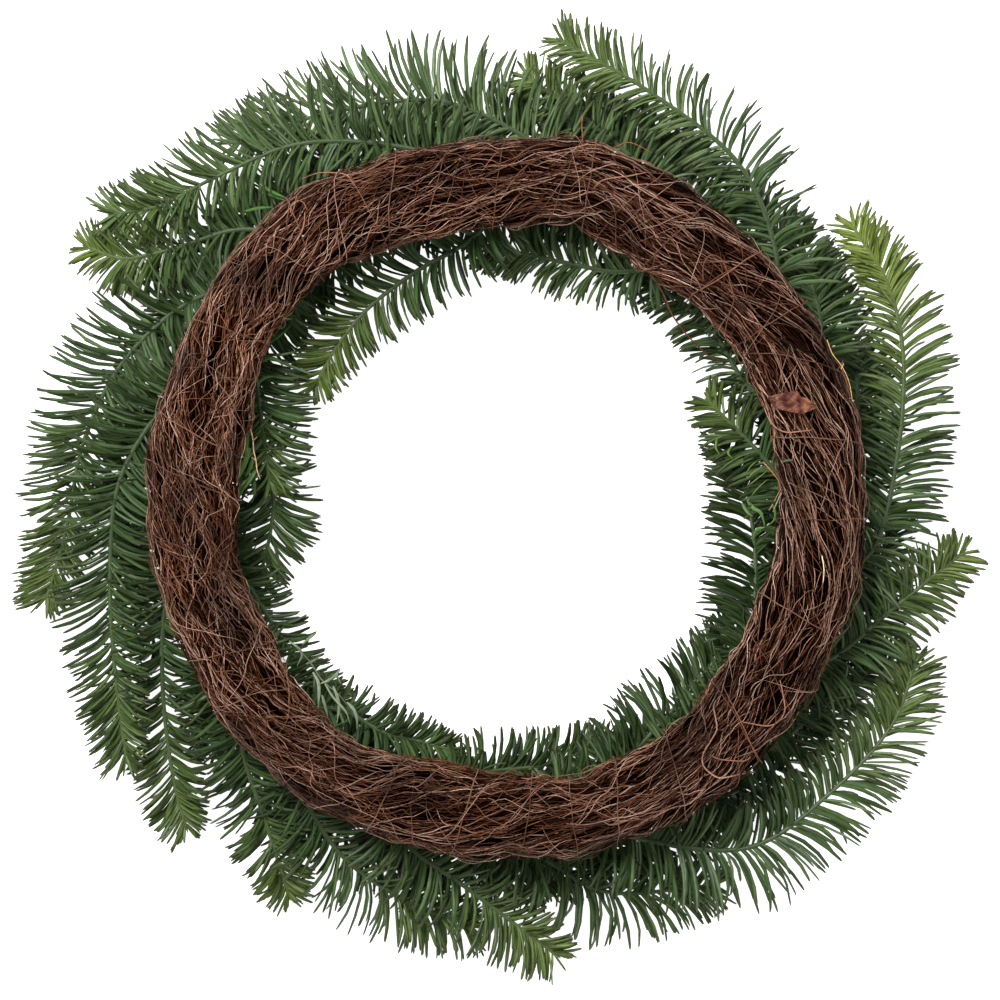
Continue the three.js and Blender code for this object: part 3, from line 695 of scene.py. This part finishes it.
# Layers of strands from the core outwards: how many locks and how many strands in each, their length, how
# proud of the bundle they lie, their slope and wave, their radius, how light they are, how far round the
# bundle they spread, their stations, how high they arch, and the middle of their spread
STRAND_TRAITS = ("count", "lock", "lengths", "proud", "slope", "wave", "radius", "tone", "spread",
                 "stations", "lift", "about")
STRANDS = {
    # vine_deep's near-black tones are painted shade in the gaps; vine_middle's darker tones are partly the
    # vine's own tone and partly painted shade
    "vine_deep": (560, 1, (60, 150), (-4.0, -2.8), 6, 1.4, (0.28, 0.42), (0.0, 0.13), 125, 9, 0.0, 0),
    "vine_under": (100, 4, (50, 130), (-1.6, 0.2), 8, 2.4, (0.34, 0.48), (0.1, 0.75), 85, 12, 0.0, 180),
    "vine_middle": (250, 4, (50, 130), (-3.0, -1.4), 6, 2.0, (0.24, 0.37), (0.0, 0.66), 118, 12, 0.0, 0),
    "vine_upper": (400, 4, (36, 110), (-1.5, 0.8), 8, 3.0, (0.21, 0.33), (0.08, 1.0), 108, 14, 0.0, 0),
    "vine_across": (440, 1, (20, 62), (-0.6, 1.1), 19, 4.0, (0.21, 0.31), (0.25, 1.0), 100, 14, 1.0, 0),
    "vine_curls": (170, 1, (18, 46), (0.1, 1.1), 42, 7.0, (0.21, 0.3), (0.45, 1.0), 98, 17, 2.2, 0),
    "vine_fibres": (480, 1, (9, 30), (0.1, 1.3), 42, 5.5, (0.14, 0.2), (0.4, 0.95), 98, 10, 1.0, 0),
}

make_shade_core()
for name, values in STRANDS.items():
    make_strands(name, **dict(zip(STRAND_TRAITS, values)))


# Vine that binds the bundle: the angles at which each loop crosses the ring's outer and inner edges
BINDINGS = [(8.7, 13.2), (44, 47.7), (76.1, 74.3), (107.6, 115), (126.2, 130.1), (165.5, 171.4),
            (173.7, 180.4), (207, 211.5), (247.4, 248.3), (261, 264), (287.7, 292.5), (299.3, 304.3),
            (313.9, 318.4), (336.5, 339.5)]
TIES = [(20.5, 32.5), (33.4, 33.6), (55.4, 59.7), (64.2, 71.3), (78.1, 81.3), (90.1, 93), (98.1, 107.9),
        (115.8, 115.2), (138.7, 145.2), (150.4, 147.1), (155, 157.6), (186, 200), (192.7, 195),
        (216.4, 218.1), (232, 234.5), (272, 275.5), (281.2, 282.5), (321.7, 331.7), (347, 362),
        (356.7, 355.7)]

# The radius of each kind, and how light it is
BINDING_KIND = (0.36, 0.66)
TIE_KIND = (0.28, 0.6)
LOOP_STEPS = 73
LOOP_RISE = 1.2
LOOP_WARMTH = 0.12
LOOSE_SIDES = 6


def binding_part(outer, inner, radius, tone):
    """A loop round the bundle that crosses its back in a straight line"""
    section = np.linspace(-np.pi, np.pi, LOOP_STEPS)[None]
    wander = 0.12 * np.sin(3 * section + outer) + 0.07 * np.sin(7 * section)
    round_angle = np.radians((outer + inner) / 2 + (inner - outer) / 2 * np.sin(section) + wander)
    rise = LOOP_RISE + 0.3 * np.sin(5 * section + outer)
    centres = ring_surface(round_angle, section, rise)
    thick = np.full(section.shape, radius)
    tint = stacked(np.linspace(0, 1, LOOP_STEPS), tone + 0.12 * np.sin(2 * section + inner), LOOP_WARMTH)
    return tubes(centres, bundle_normal(round_angle, section), thick, thick, LOOSE_SIDES, tint)


def make_bindings():
    for index, (outer, inner) in enumerate(BINDINGS):
        number = f"{index + 1:02d}"
        part = binding_part(outer, inner, *BINDING_KIND)
        nodes = [f"binding_vine_{number}"]
        make_piece(f"bound_vine_{number}", [part], [BINDING], nodes, sharp=SMOOTH)
    ties = [binding_part(outer, inner, *TIE_KIND) for outer, inner in TIES]
    make_piece("thin_ties", ties, [BINDING], sharp=SMOOTH)


make_bindings()


# Loose vine: places in the picture with their height, the radius, and how light and how warm it is
LOOSE_VINE = [
    ([(645, 261, 92), (654, 277, 91), (664, 294, 90), (672, 313, 90), (687, 334, 89), (709, 355, 87),
      (726, 364, 82)], 0.6, 0.35, 0.3),
    ([(703, 282, 100), (704, 263, 101), (711, 255, 101.5), (720, 258, 101.5), (727, 271, 100.5),
      (731, 286, 100), (734, 299, 100.5), (727, 323, 99.5), (727, 338, 97), (732, 344, 94), (738, 358, 88),
      (744, 370, 82)], 0.5, 0.6, 0.2),
    ([(692, 294, 99), (716, 281, 100.5), (732, 270, 101), (748, 258, 100.5), (762, 251, 98)],
     0.5, 0.65, 0.3),
    ([(752, 372, 95), (762, 392, 97), (768, 408, 98), (774, 425, 99), (785, 432, 100), (803, 431, 100.5),
      (812, 430, 99.5)], 0.65, 0.7, 0.1),
    ([(760, 384, 98), (772, 402, 100), (784, 420, 100.5), (792, 436, 100)], 0.5, 0.8, 0.2),
    ([(790, 372, 100), (794, 394, 101.25), (800, 416, 101), (806, 440, 100)], 0.5, 0.55, 0.1),
    ([(780, 378, 100), (789, 396, 101.25), (794, 412, 101), (796, 430, 100)], 0.45, 0.5, 0.1),
    ([(836, 360, 92), (842, 368, 91), (848, 384, 90), (853, 400, 87)], 0.6, 0.8, 1.0),
    ([(844, 360, 88), (841, 366, 91), (837, 370, 93)], 0.45, 0.8, 0.6),
    ([(720, 696, 99), (714, 705, 101), (716, 720, 101.5), (717, 729, 101), (711, 741, 101),
      (703, 755, 101.5), (703, 765, 101.5), (710, 773, 101), (719, 778, 100.5), (740, 775, 100.5),
      (756, 773, 97)], 0.65, 0.75, 0.2),
    ([(710, 755, 99.5), (718, 759, 101), (734, 761, 101.5), (746, 761, 100.5), (751, 757, 99.5)],
     0.55, 0.65, 0.3),
    ([(743, 722, 99.5), (753, 724, 101), (768, 726, 101), (777, 723, 100.5), (783, 716, 100),
      (785, 709, 100), (783, 695, 100), (780, 680, 99.5)], 0.55, 0.7, 0.4),
    ([(722, 684, 99), (734, 708, 100.25), (744, 728, 100.5), (753, 749, 100.25), (759, 762, 98)],
     0.5, 0.6, 0.3),
    ([(582, 150, 97), (583, 138, 97), (582, 122, 96), (584, 111, 95)], 0.5, 0.6, 0.5),
    ([(593, 152, 99), (590, 144, 98), (583, 139, 97)], 0.4, 0.6, 0.5),
    ([(602, 152, 99), (615, 146, 97), (628, 141, 95), (640, 145, 93), (652, 152, 92)], 0.42, 0.6, 0.5),
    ([(594, 188, 99.5), (601, 181, 100.5), (612, 178, 101), (628, 176, 100.5), (646, 172, 99.5)],
     0.55, 0.7, 0.4),
    ([(305, 212, 98), (303, 228, 100), (296, 241, 100.5), (288, 252, 100), (276, 262, 99.5)],
     0.55, 0.7, 0.5),
    ([(291, 213, 97), (290, 206, 99), (296, 200, 99.5), (303, 202, 99.5), (307, 210, 99)], 0.45, 0.7, 0.8),
    ([(301, 178, 90), (318, 172, 92), (334, 172, 92), (348, 176, 94), (354, 186, 97)], 0.5, 0.7, 0.6),
]

# Dry stalks: places in the picture with their height, the radius, how light and how warm it is
STRAWS = [
    ([(244, 430, 70), (242.5, 442, 67), (241.5, 455, 66), (239.5, 467, 66)], 0.42, 0.35, 0.5),
    ([(249, 414, 76), (250.5, 429, 70), (253, 440, 66), (253.5, 450, 65), (256, 461, 64), (257, 470, 63),
      (260, 479, 60)], 0.55, 0.85, 0.1),
    ([(253, 441, 66), (257, 437, 68)], 0.3, 0.8, 0.1),
    ([(256, 461, 64), (252, 457, 66)], 0.3, 0.8, 0.1),
    ([(763, 462, 60), (772, 472, 68), (781, 484, 80)], 0.35, 0.45, 0.4),
    ([(782, 486, 82), (776, 498, 70), (769, 511, 62)], 0.35, 0.75, 0.2),
    ([(783, 488, 82), (778, 500, 72), (773, 512, 64)], 0.4, 0.95, 0.1),
    ([(827, 340, 96), (832.5, 354, 95), (842, 366.5, 94), (849, 382, 92), (852.3, 400, 90)],
     0.32, 0.66, 0.0),
    ([(841, 369, 94), (844, 363, 93)], 0.32, 0.75, 0.1),
    ([(822, 556, 101), (824, 570, 102), (823, 583, 101)], 0.4, 1.0, 0.1),
]

# Loose leaves near the ring, green ones and dusty ones: places in the picture with their height, and the
# half width, how light and how yellow it is
GREEN_LEAVES = [
    ([(248, 434, 66), (246, 446, 66), (247, 458, 64), (243, 468, 62)], 1.7, 0.9, 0.15),
    ([(250, 448, 64), (246, 460, 64), (241, 472, 62), (238, 480, 62)], 1.9, 1.0, 0.1),
    ([(253, 458, 62), (250, 468, 61), (245, 477, 60)], 1.6, 0.8, 0.1),
    ([(256, 470, 60), (249, 480, 60), (243, 488, 60), (239, 498, 60)], 1.9, 0.8, 0.15),
    ([(246, 480, 62), (240, 487, 62), (237, 494, 62)], 1.2, 0.9, 0.3),
    ([(746, 497, 60), (753, 508, 63), (760, 512, 64), (765, 526, 62)], 1.2, 0.8, 0.15),
    ([(742, 503, 60), (749, 514, 62), (753, 516, 62)], 1.1, 0.9, 0.1),
    ([(753, 540, 58), (757, 530, 60), (765, 527, 62)], 1.3, 0.9, 0.15),
    ([(770, 500, 64), (775, 510, 66), (774, 520, 66), (767, 526, 64)], 0.8, 0.9, 0.05),
    ([(747, 479, 58), (755, 471, 61), (765, 465, 63)], 0.45, 0.8, 0.5),
    ([(749, 485, 58), (758, 478, 61), (767, 471, 63)], 0.45, 0.8, 0.5),
    ([(746, 473, 58), (751, 466, 60), (758, 460, 62)], 0.45, 0.7, 0.5),
    ([(752, 495, 58), (760, 486, 61), (768, 479, 64)], 0.45, 0.8, 0.4),
    ([(717, 438, 52), (716, 448, 54), (720, 455, 54)], 0.8, 0.7, 0.4),
    ([(732, 446, 54), (728, 453, 56), (733, 459, 56)], 0.7, 0.7, 0.5),
    ([(260, 184, 60), (271, 191, 66), (286, 198, 76)], 1.2, 0.6, 0.05),
    ([(262, 192, 60), (274, 196, 64), (287, 201, 74)], 1.1, 0.5, 0.05),
    ([(245, 211, 58), (259, 208, 64), (272, 207, 74)], 1.1, 0.5, 0.1),
    ([(274, 314, 92), (282, 318, 85), (291, 319, 76), (300, 314, 68)], 1.2, 0.6, 0.05),
    ([(264, 346, 80), (276, 338, 74), (288, 328, 70), (294, 320, 70)], 1.3, 0.5, 0.05),
    ([(262, 362, 74), (270, 358, 70), (279, 361, 66), (284, 368, 62)], 1.1, 0.6, 0.1),
    ([(256, 385, 72), (264, 378, 66), (274, 376, 62)], 1.2, 0.5, 0.05),
]
DUSTY_LEAVES = [
    ([(289, 641, 62), (297, 647, 62), (302, 654, 61), (297, 666, 58)], 0.9, 0.8, 0.0),
    ([(316, 633, 56), (309, 638, 58), (302, 645, 60)], 1.0, 0.6, 0.0),
    ([(340, 669, 54), (334, 677, 57), (327, 681, 59), (319, 684, 60)], 1.1, 0.8, 0.0),
    ([(313, 672, 60), (318, 682, 61), (319, 692, 61), (318, 709, 58)], 1.1, 0.9, 0.0),
    ([(333, 686, 59), (337, 696, 59), (339, 706, 58), (337, 723, 56)], 1.2, 0.9, 0.0),
    ([(347, 702, 59), (354, 710, 59), (357, 720, 58), (357, 729, 56)], 1.1, 0.8, 0.0),
    ([(325, 684, 60), (333, 697, 60), (346, 712, 59), (350, 724, 57)], 0.9, 0.9, 0.0),
    ([(322, 695, 60), (325, 706, 60), (328, 718, 58)], 1.0, 0.6, 0.0),
    ([(306, 664, 60), (313, 661, 58), (320, 656, 56)], 0.9, 0.6, 0.0),
    ([(329, 680, 60), (336, 676, 58), (341, 684, 57)], 0.9, 0.7, 0.0),
    ([(793, 460, 99), (784, 461, 92), (776, 467, 80)], 0.8, 0.1, 0.0),
    ([(296, 646, 64), (310, 662, 60), (322, 680, 59), (340, 696, 58), (352, 712, 58)], 0.5, 0.5, 0.0),
]
BLADE = {"at": (0, 0.25, 0.6, 1), "width": (0.5, 1, 0.95, 0.2), "depth": 0.35}
BLADE_ROLL = 0.35
BLADE_STEP = 1.5

# Small pale specks: places in the picture with their height
PALE_SPECKS = [(615, 152, 99), (643, 163, 98), (303, 236, 102), (242, 457, 84), (233, 483, 92),
               (220, 485, 100), (853, 401, 86), (618, 848, 94), (624, 846, 95)]
SPECK_RADII = np.array([0.75, 0.45, 0.3])
SPECK_RINGS = 7
SPECK_SIDES = 10

# The withered leaf: its upper and lower edges in the picture, from tip to tip, and its height
LEAF_UPPER = [(767.8, 397.4), (772.7, 395.4), (778, 394), (784, 393), (790, 392), (797, 390.5),
              (800.5, 396.5), (806, 398), (811.5, 401.5), (817, 406)]
LEAF_LOWER = [(767.8, 398.8), (770.5, 403), (775, 408.5), (782, 410.2), (789, 411.8), (796, 413),
              (802, 414.2), (807, 411.8), (812, 409.8), (816.6, 408.3)]
LEAF_HEIGHT = 101.8
LEAF_THICKNESS = 0.35
LEAF_GRID = (56, 17)

# Loose strands: how high they may lie over the bundle, how far apart their points are, and the way up
LOOSE_RISE = 2.0
LOOSE_STEP = 2.5
LOOSE_HINT = np.array([0.1, 0.1, 1.0])


def picture_line(points, step):
    """A curve through places in the picture, and how far along each point is, as a length and a share"""
    line, stations = curve_through([from_picture(*point) for point in points], step)
    return line, stations, (stations / stations[-1])[None]


def laid_on_ring(points):
    """The same points, none of them higher over the bundle than a loose strand lies"""
    offset = points[:, :2] - RING_CENTRE
    round_angle = np.arctan2(offset[:, 1], offset[:, 0])
    middle, half = ring_section(round_angle)
    section = np.arcsin(np.clip((middle - np.hypot(*offset.T)) / half, -1, 1))
    highest = ring_surface(round_angle, section, LOOSE_RISE)[:, 2]
    return np.column_stack([points[:, :2], np.minimum(points[:, 2], highest)])


def make_loose_vine():
    parts = []
    for points, radius, tone, warmth in LOOSE_VINE:
        line, stations, share = picture_line(points, LOOSE_STEP)
        line = laid_on_ring(line)[None]
        thick = 0.8 * radius * (1 - 0.4 * np.abs(2 * share - 1) ** 4) * (1 + 0.07 * np.sin(stations))
        parts.append(tubes(line, LOOSE_HINT, thick, thick, LOOSE_SIDES, stacked(share, tone, warmth)))
    make_piece("loose_vine", parts, [VINE], sharp=SMOOTH)


def make_straws():
    parts = []
    for points, radius, tone, warmth in STRAWS:
        line, stations, share = picture_line(points, LOOSE_STEP)
        thick = radius * (1 - 0.3 * share) * (1 + 0.12 * np.sin(0.9 * stations))
        parts.append(tubes(line[None], LOOSE_HINT, thick, thick, LOOSE_SIDES, stacked(share, tone, warmth)))
    make_piece("straws", parts, [STRAW], sharp=SMOOTH)


def make_loose_leaves(name, leaves, material):
    """Small curled blades that lie loose near the ring"""
    parts = []
    for points, half_width, tone, youth in leaves:
        line, _, share = picture_line(points, BLADE_STEP)
        width = half_width * np.interp(share, BLADE["at"], BLADE["width"])
        depth = BLADE["depth"] * width / half_width
        roll = chance.normal(0, BLADE_ROLL)
        hint = unit(np.array([math.sin(roll), 0.2, math.cos(roll)]))
        parts.append(tubes(line[None], hint, width, depth, LOOSE_SIDES, stacked(0.75 * share, tone, youth)))
    make_piece(name, parts, [material], sharp=60)


def make_pale_specks():
    """Small pale specks"""
    parts = []
    rings = np.radians(np.linspace(6, 174, SPECK_RINGS))[:, None]
    turn = np.linspace(0, 2 * np.pi, SPECK_SIDES, endpoint=False)
    ball = stacked(np.cos(rings), np.sin(rings) * np.cos(turn), np.sin(rings) * np.sin(turn))
    for place in PALE_SPECKS:
        points = from_picture(*place) + ball * SPECK_RADII * chance.uniform(0.7, 1.2, 3)
        parts.append(skins(points[None], np.ones((1, SPECK_RINGS, SPECK_SIDES, 4))))
    make_piece("pale_specks", parts, [PALE], sharp=SMOOTH)


def make_withered_leaf():
    """Two folded sheets between the leaf's edges, closed to one skin"""
    share = np.linspace(0, 1, LEAF_GRID[0])
    knots = np.linspace(0, 1, len(LEAF_UPPER))
    edges = [np.array([from_picture(right, down, LEAF_HEIGHT) for right, down in edge])
             for edge in (LEAF_LOWER, LEAF_UPPER)]
    lower, upper = (at_stations(knots, edge, share) for edge in edges)
    over = np.linspace(-1, 1, LEAF_GRID[1])
    layers = []
    for across, lift in ((over, LEAF_THICKNESS / 2), (over[::-1], -LEAF_THICKNESS / 2)):
        u, v = np.meshgrid(share, across, indexing="ij")
        sheet = lerp(lower[:, None], upper[:, None], ((v + 1) / 2)[..., None])
        folds = 1.5 * np.abs(np.sin(9.5 * u + 1.3 * v)) + 0.8 * np.abs(np.sin(21 * u - 3.5 * v + 1))
        sheet[..., 2] += (folds + 1.2 * np.abs(v) ** 1.5 - 1.6) * np.sin(np.pi * u) ** 0.5 + lift
        layers.append((sheet, stacked(u, np.abs(v), v, 1.0)))
    points, tints = (np.concatenate(each, axis=1) for each in zip(*layers))
    part = skins(points[None], tints[None])
    make_piece("withered_leaf", [part], [LEAF], ["dry_leaf"], sharp=25)


make_loose_vine()
make_straws()
make_loose_leaves("green_leaves", GREEN_LEAVES, FRESH)
make_loose_leaves("dusty_leaves", DUSTY_LEAVES, DUSTY)
make_pale_specks()
make_withered_leaf()


# Sprays
def path_point(point):
    angle, reach, drop = point
    turn = math.radians(angle)
    return np.array([
        RING_CENTRE[0] + reach * math.cos(turn),
        RING_CENTRE[1] + reach * math.sin(turn),
        RING_UNDERSIDE - drop,
    ])


def stem_line(path):
    knots = [path_point(point) for point in path]
    knots[0] = knots[0] + np.array([0, 0, ROOT_RISE])
    return curve_through(knots, STEM_STEP)


def inside_ring(points):
    flat = points[..., :2] - RING_CENTRE
    middle, half = ring_section(np.arctan2(flat[..., 1], flat[..., 0]))
    across = (np.linalg.norm(flat, axis=-1) - middle) / (half - 0.5)
    return across ** 2 + ((points[..., 2] - RING_HEIGHT) / (RING_HALF_DEPTH - 1)) ** 2 < 1


def needle_lines(at, roots, tangent, side, up, facing, elevation, root_lean, end_lean, curl, length):
    """Centre lines of needles: each leaves its stem leaning to the tip and curves outwards"""
    half_way = (at[:-1] + at[1:]) / 2
    lean = np.radians(lerp(root_lean[:, None], end_lean[:, None], half_way ** 0.8))
    raised = np.radians(elevation[:, None] + curl[:, None] * half_way ** 1.5)
    sideways = (facing[:, None] * np.cos(raised))[..., None]
    out = sideways * side[:, None] + np.sin(raised)[..., None] * up[:, None]
    heading = np.cos(lean)[..., None] * tangent[:, None] + np.sin(lean)[..., None] * out
    steps = heading * (length[:, None] * np.diff(at))[..., None]
    return np.concatenate([roots[:, None], roots[:, None] + np.cumsum(steps, axis=1)], axis=1)


def needle_roots(total, spacings, more_at_tip):
    """Where needles grow: in small groups along both sides, and here and there on top and below"""
    rows = []
    for facing, group_spacing in zip((1, -1), spacings):
        starts = np.arange(BARE_ROOT, total - 1, group_spacing)
        starts = starts + chance.uniform(-GROUP_SHIFT, GROUP_SHIFT, len(starts))
        places = np.repeat(starts, chance.integers(*GROUP_SIZES, len(starts)))
        places = places + chance.normal(0, GROUP_SPREAD, len(places))
        places = np.append(places, total - TIP_REACH * chance.uniform(0.03, 1, more_at_tip))
        rows.append((places, np.full(len(places), facing), chance.normal(*SIDE_ELEVATION, len(places))))
        for spacing, middle, spread in ROWS:
            places = np.arange(BARE_ROOT, total - 3, spacing)
            places = places + chance.uniform(-ROW_SHIFT, ROW_SHIFT, len(places))
            rows.append((places, np.full(len(places), facing), chance.normal(middle, spread, len(places))))
    where, facing, elevation = (np.concatenate(each) for each in zip(*rows))
    return np.clip(where, BARE_ROOT, total), facing, elevation


def stem_part(line, stations, tangent, youth):
    stem = np.vstack([line, line[-1] + tangent[-1] * NIB * 0.5, line[-1] + tangent[-1] * NIB])
    share = stations / stations[-1]
    radius = lerp(*STEM_RADII, share) * (1 + STEM_KNOT * np.sin(stations * STEM_KNOTS_PER_MM))
    radius = np.append(radius, [radius[-1] * 0.6, NIB_RADIUS])[None]
    share = np.append(share, [1, 1])[None]
    tint = stacked(share, 0.5, youth * share ** 3)
    return tubes(stem[None], UPWARDS, radius, radius, STEM_SIDES, tint, slot=1)


def stem_needles(total, hole_side, out_side, shape):
    """Where needles grow along a stem, how long they are and how they lean"""
    where, facing, elevation = needle_roots(total, shape["spacings"], shape["more_at_tip"])
    along = where / total
    count = len(where)
    length = np.where(facing > 0, hole_side, out_side) * (1 - TIP_SHORTER * along ** 3)
    length = length * chance.uniform(*NEEDLE_STRETCH, count)
    length = np.where(chance.uniform(size=count) < STUNTED_SHARE, length * STUNTED_LENGTH, length)
    return {
        "where": where,
        "facing": facing,
        "elevation": elevation,
        "length": length,
        "root_lean": lerp(*ROOT_LEANS, along ** 2) + chance.normal(0, LEAN_SPREADS[0], count),
        "end_lean": lerp(*END_LEANS, along ** 2) + chance.normal(0, LEAN_SPREADS[1], count),
        "curl": chance.normal(*NEEDLE_CURL, count),
    }


def fan_needles(total, out_side):
    """The fan of short needles at a spray's tip"""
    turn = np.linspace(-FAN_HALF_TURN, FAN_HALF_TURN, FAN_COUNT) + chance.normal(0, FAN_SHIFT, FAN_COUNT)
    ahead = np.abs(turn) < 90
    return {
        "where": np.full(FAN_COUNT, total - 1.0),
        "facing": np.where(ahead, 1, -1),
        "elevation": np.where(ahead, turn, 180 - turn) * 0.5,
        "length": chance.uniform(*FAN_LENGTHS, FAN_COUNT) * out_side,
        "root_lean": chance.uniform(*FAN_ROOT_LEANS, FAN_COUNT),
        "end_lean": chance.uniform(*FAN_END_LEANS, FAN_COUNT),
        "curl": chance.normal(0, FAN_CURL, FAN_COUNT),
    }


def clear_lines(at, roots, frame_at, needles):
    """Needles turn away from the ring above and the surface below; which of them are then clear of both"""
    for _ in range(DODGES):
        lines = needle_lines(at, roots, *frame_at, **needles)
        hits_ring = inside_ring(lines[:, 2:]).any(axis=1)
        too_low = lines[..., 2].min(axis=1) < LOWEST_LINE
        needles["elevation"] = needles["elevation"] - DODGE_STEP * hits_ring + DODGE_STEP * too_low
    clear = ~(inside_ring(lines[:, 2:]).any(axis=1) | (lines[..., 2].min(axis=1) < LOWEST_KEPT))
    return lines, clear


def needle_part(lines, tangents, along, facing, shape, youth, lightness):
    count = len(lines)
    heading = unit(lines[:, -1] - lines[:, 0])
    flat = unit(np.cross(heading, tangents) * facing[:, None])
    roll = np.radians(chance.normal(0, NEEDLE_ROLL, count))[:, None]
    hint = (flat * np.cos(roll) + np.cross(heading, flat) * np.sin(roll))[:, None]
    widest = shape["half_width"] * chance.uniform(*NEEDLE_WIDTHS, count)
    width = (widest * (1 - TIP_NARROWER * along ** 4))[:, None] * shape["widths"]
    depth = np.broadcast_to(shape["depths"], width.shape)
    young = youth * np.clip((along - 0.35) / 0.6, 0, 1) ** 1.5 + chance.normal(0, YOUTH_SPREAD, count)
    tone = chance.normal(lightness, TONE_SPREAD, count)
    tint = stacked(shape["at"], np.clip(tone, 0, 1)[:, None], np.clip(young, 0, 1)[:, None])
    return tubes(lines, hint, width, depth, NEEDLE_SIDES, tint)


def make_spray(name, spray, shape, nodes=()):
    path, (hole_side, out_side), youth, lightness = spray
    line, stations = stem_line(path)
    total = stations[-1]
    tangent = unit(np.gradient(line, axis=0))
    side = unit(np.cross(UPWARDS, tangent))
    up = np.cross(tangent, side)
    stem = stem_part(line, stations, tangent, youth)

    needles = stem_needles(total, hole_side, out_side, shape)
    fan = fan_needles(total, out_side)
    needles = {key: np.append(needles[key], fan[key]) for key in needles}
    where = needles.pop("where")
    roots = at_stations(stations, line, where)
    frame_at = [unit(at_stations(stations, values, where)) for values in (tangent, side, up)]
    lines, clear = clear_lines(shape["at"], roots, frame_at, needles)

    along, facing = (where / total)[clear], needles["facing"][clear]
    grown = needle_part(lines[clear], frame_at[0][clear], along, facing, shape, youth, lightness)
    make_piece(name, [stem, grown], [NEEDLE, STEM], nodes)


def front_sprays():
    for index in range(FRONT_COUNT):
        start = FRONT_FIRST + index * 360 / FRONT_COUNT
        reaches = FRONT_REACHES[index % 2]
        path = [(start + turn, reach, drop) for turn, reach, drop in zip(FRONT_TURNS, reaches, FRONT_DROPS)]
        yield path, FRONT_NEEDLES, FRONT_YOUTH, FRONT_LIGHTNESS


def fill_sprays(edge):
    for index in range(edge["count"]):
        if index in edge["skip"]:
            continue
        turn_shift, reach_shift = [chance.uniform(-most, most) for most in FILL_SHIFTS]
        start = edge["first"] + index * 360 / edge["count"] + turn_shift
        reaches = np.array(edge["reaches"]) + reach_shift
        path = [(start + turn, reach, drop) for turn, reach, drop in zip(FILL_TURNS, reaches, FILL_DROPS)]
        yield path, edge["needles"], FILL_YOUTH, FILL_LIGHTNESS


for family, sprays, shape in (("outer", OUTER_SPRAYS, FULL), ("inner", INNER_SPRAYS, FULL),
                              ("front", list(front_sprays()), PLAIN)):
    for index, spray in enumerate(sprays):
        number = f"{index + 1:02d}"
        needles = OPEN if f"{family}_{number}" in OPEN_SPRAYS else shape
        nodes = [f"{family}_spray_{number}"]
        make_spray(f"leafy_{family}_{number}", spray, needles, nodes)
for family, edge in (("outer", OUTER_FILL), ("inner", INNER_FILL)):
    for index, spray in enumerate(fill_sprays(edge)):
        make_spray(f"fill_{family}_{index + 1:02d}", spray, PLAIN)


# Floor, light and camera, in metres and watts
FLOOR_SIZE = 30
FLOOR_DROP = 0.0004
BACKDROP_RADIUS = 14
BACKDROP_HEIGHT = 2.4
BACKDROP_SUNK = 0.01
PAPER_GREY = 0.8
PAPER_GLOW = 0.9
SKY_STRENGTH = 0.36
LIGHTS = {
    "key": {"location": (-1.0, 1.3, 2.5), "size": 1.3, "energy": 122},
    "fill": {"location": (1.6, -1.0, 1.8), "size": 1.8, "energy": 12},
}


def make_floor():
    bpy.ops.mesh.primitive_plane_add(size=FLOOR_SIZE, location=(0, 0, -FLOOR_DROP))
    floor = bpy.context.object
    floor.name = "floor"
    bpy.ops.mesh.primitive_cylinder_add(
        vertices=96, radius=BACKDROP_RADIUS, depth=BACKDROP_HEIGHT, end_fill_type="NOTHING",
        location=(0, 0, BACKDROP_HEIGHT / 2 - BACKDROP_SUNK))
    backdrop = bpy.context.object
    backdrop.name = "backdrop"
    shader = Shader("floor_paper", 0.9)
    shader.colour((PAPER_GREY, PAPER_GREY, PAPER_GREY))
    shader.finish({"Emission Color": (1, 1, 1), "Emission Strength": PAPER_GLOW})
    for paper in (floor, backdrop):
        paper.data.materials.append(shader.material)
    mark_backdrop(floor, backdrop)


def add_light(name, location, size, energy):
    lamp = bpy.data.lights.new(name, "AREA")
    lamp.size = size
    lamp.energy = energy
    item = bpy.data.objects.new(name, lamp)
    item.location = location
    item.rotation_euler = (-Vector(location)).to_track_quat("-Z", "Y").to_euler()
    bpy.context.scene.collection.objects.link(item)


def make_world():
    world = bpy.data.worlds.new("studio")
    world.use_nodes = True
    background = world.node_tree.nodes["Background"]
    background.inputs["Color"].default_value = (1, 1, 1, 1)
    background.inputs["Strength"].default_value = SKY_STRENGTH
    bpy.context.scene.world = world


def make_camera():
    camera = bpy.data.objects.new("camera", bpy.data.cameras.new("camera"))
    camera.data.sensor_width = SENSOR_WIDTH
    camera.data.lens = SENSOR_WIDTH * (CAMERA_HEIGHT - PIXEL_HEIGHT) / (PICTURE_WIDTH * PIXEL)
    camera.data.clip_end = 50
    camera.location = (0, 0, CAMERA_HEIGHT * MM)
    bpy.context.scene.collection.objects.link(camera)
    bpy.context.scene.camera = camera


bpy.context.scene.view_settings.view_transform = "Standard"
make_floor()
make_world()
for name, light in LIGHTS.items():
    add_light(name, **light)
make_camera()

visual_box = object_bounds()
({name: [list(corner) for corner in box]
           for name, box in (("cad", CAD_BOX), ("visual", visual_box))})
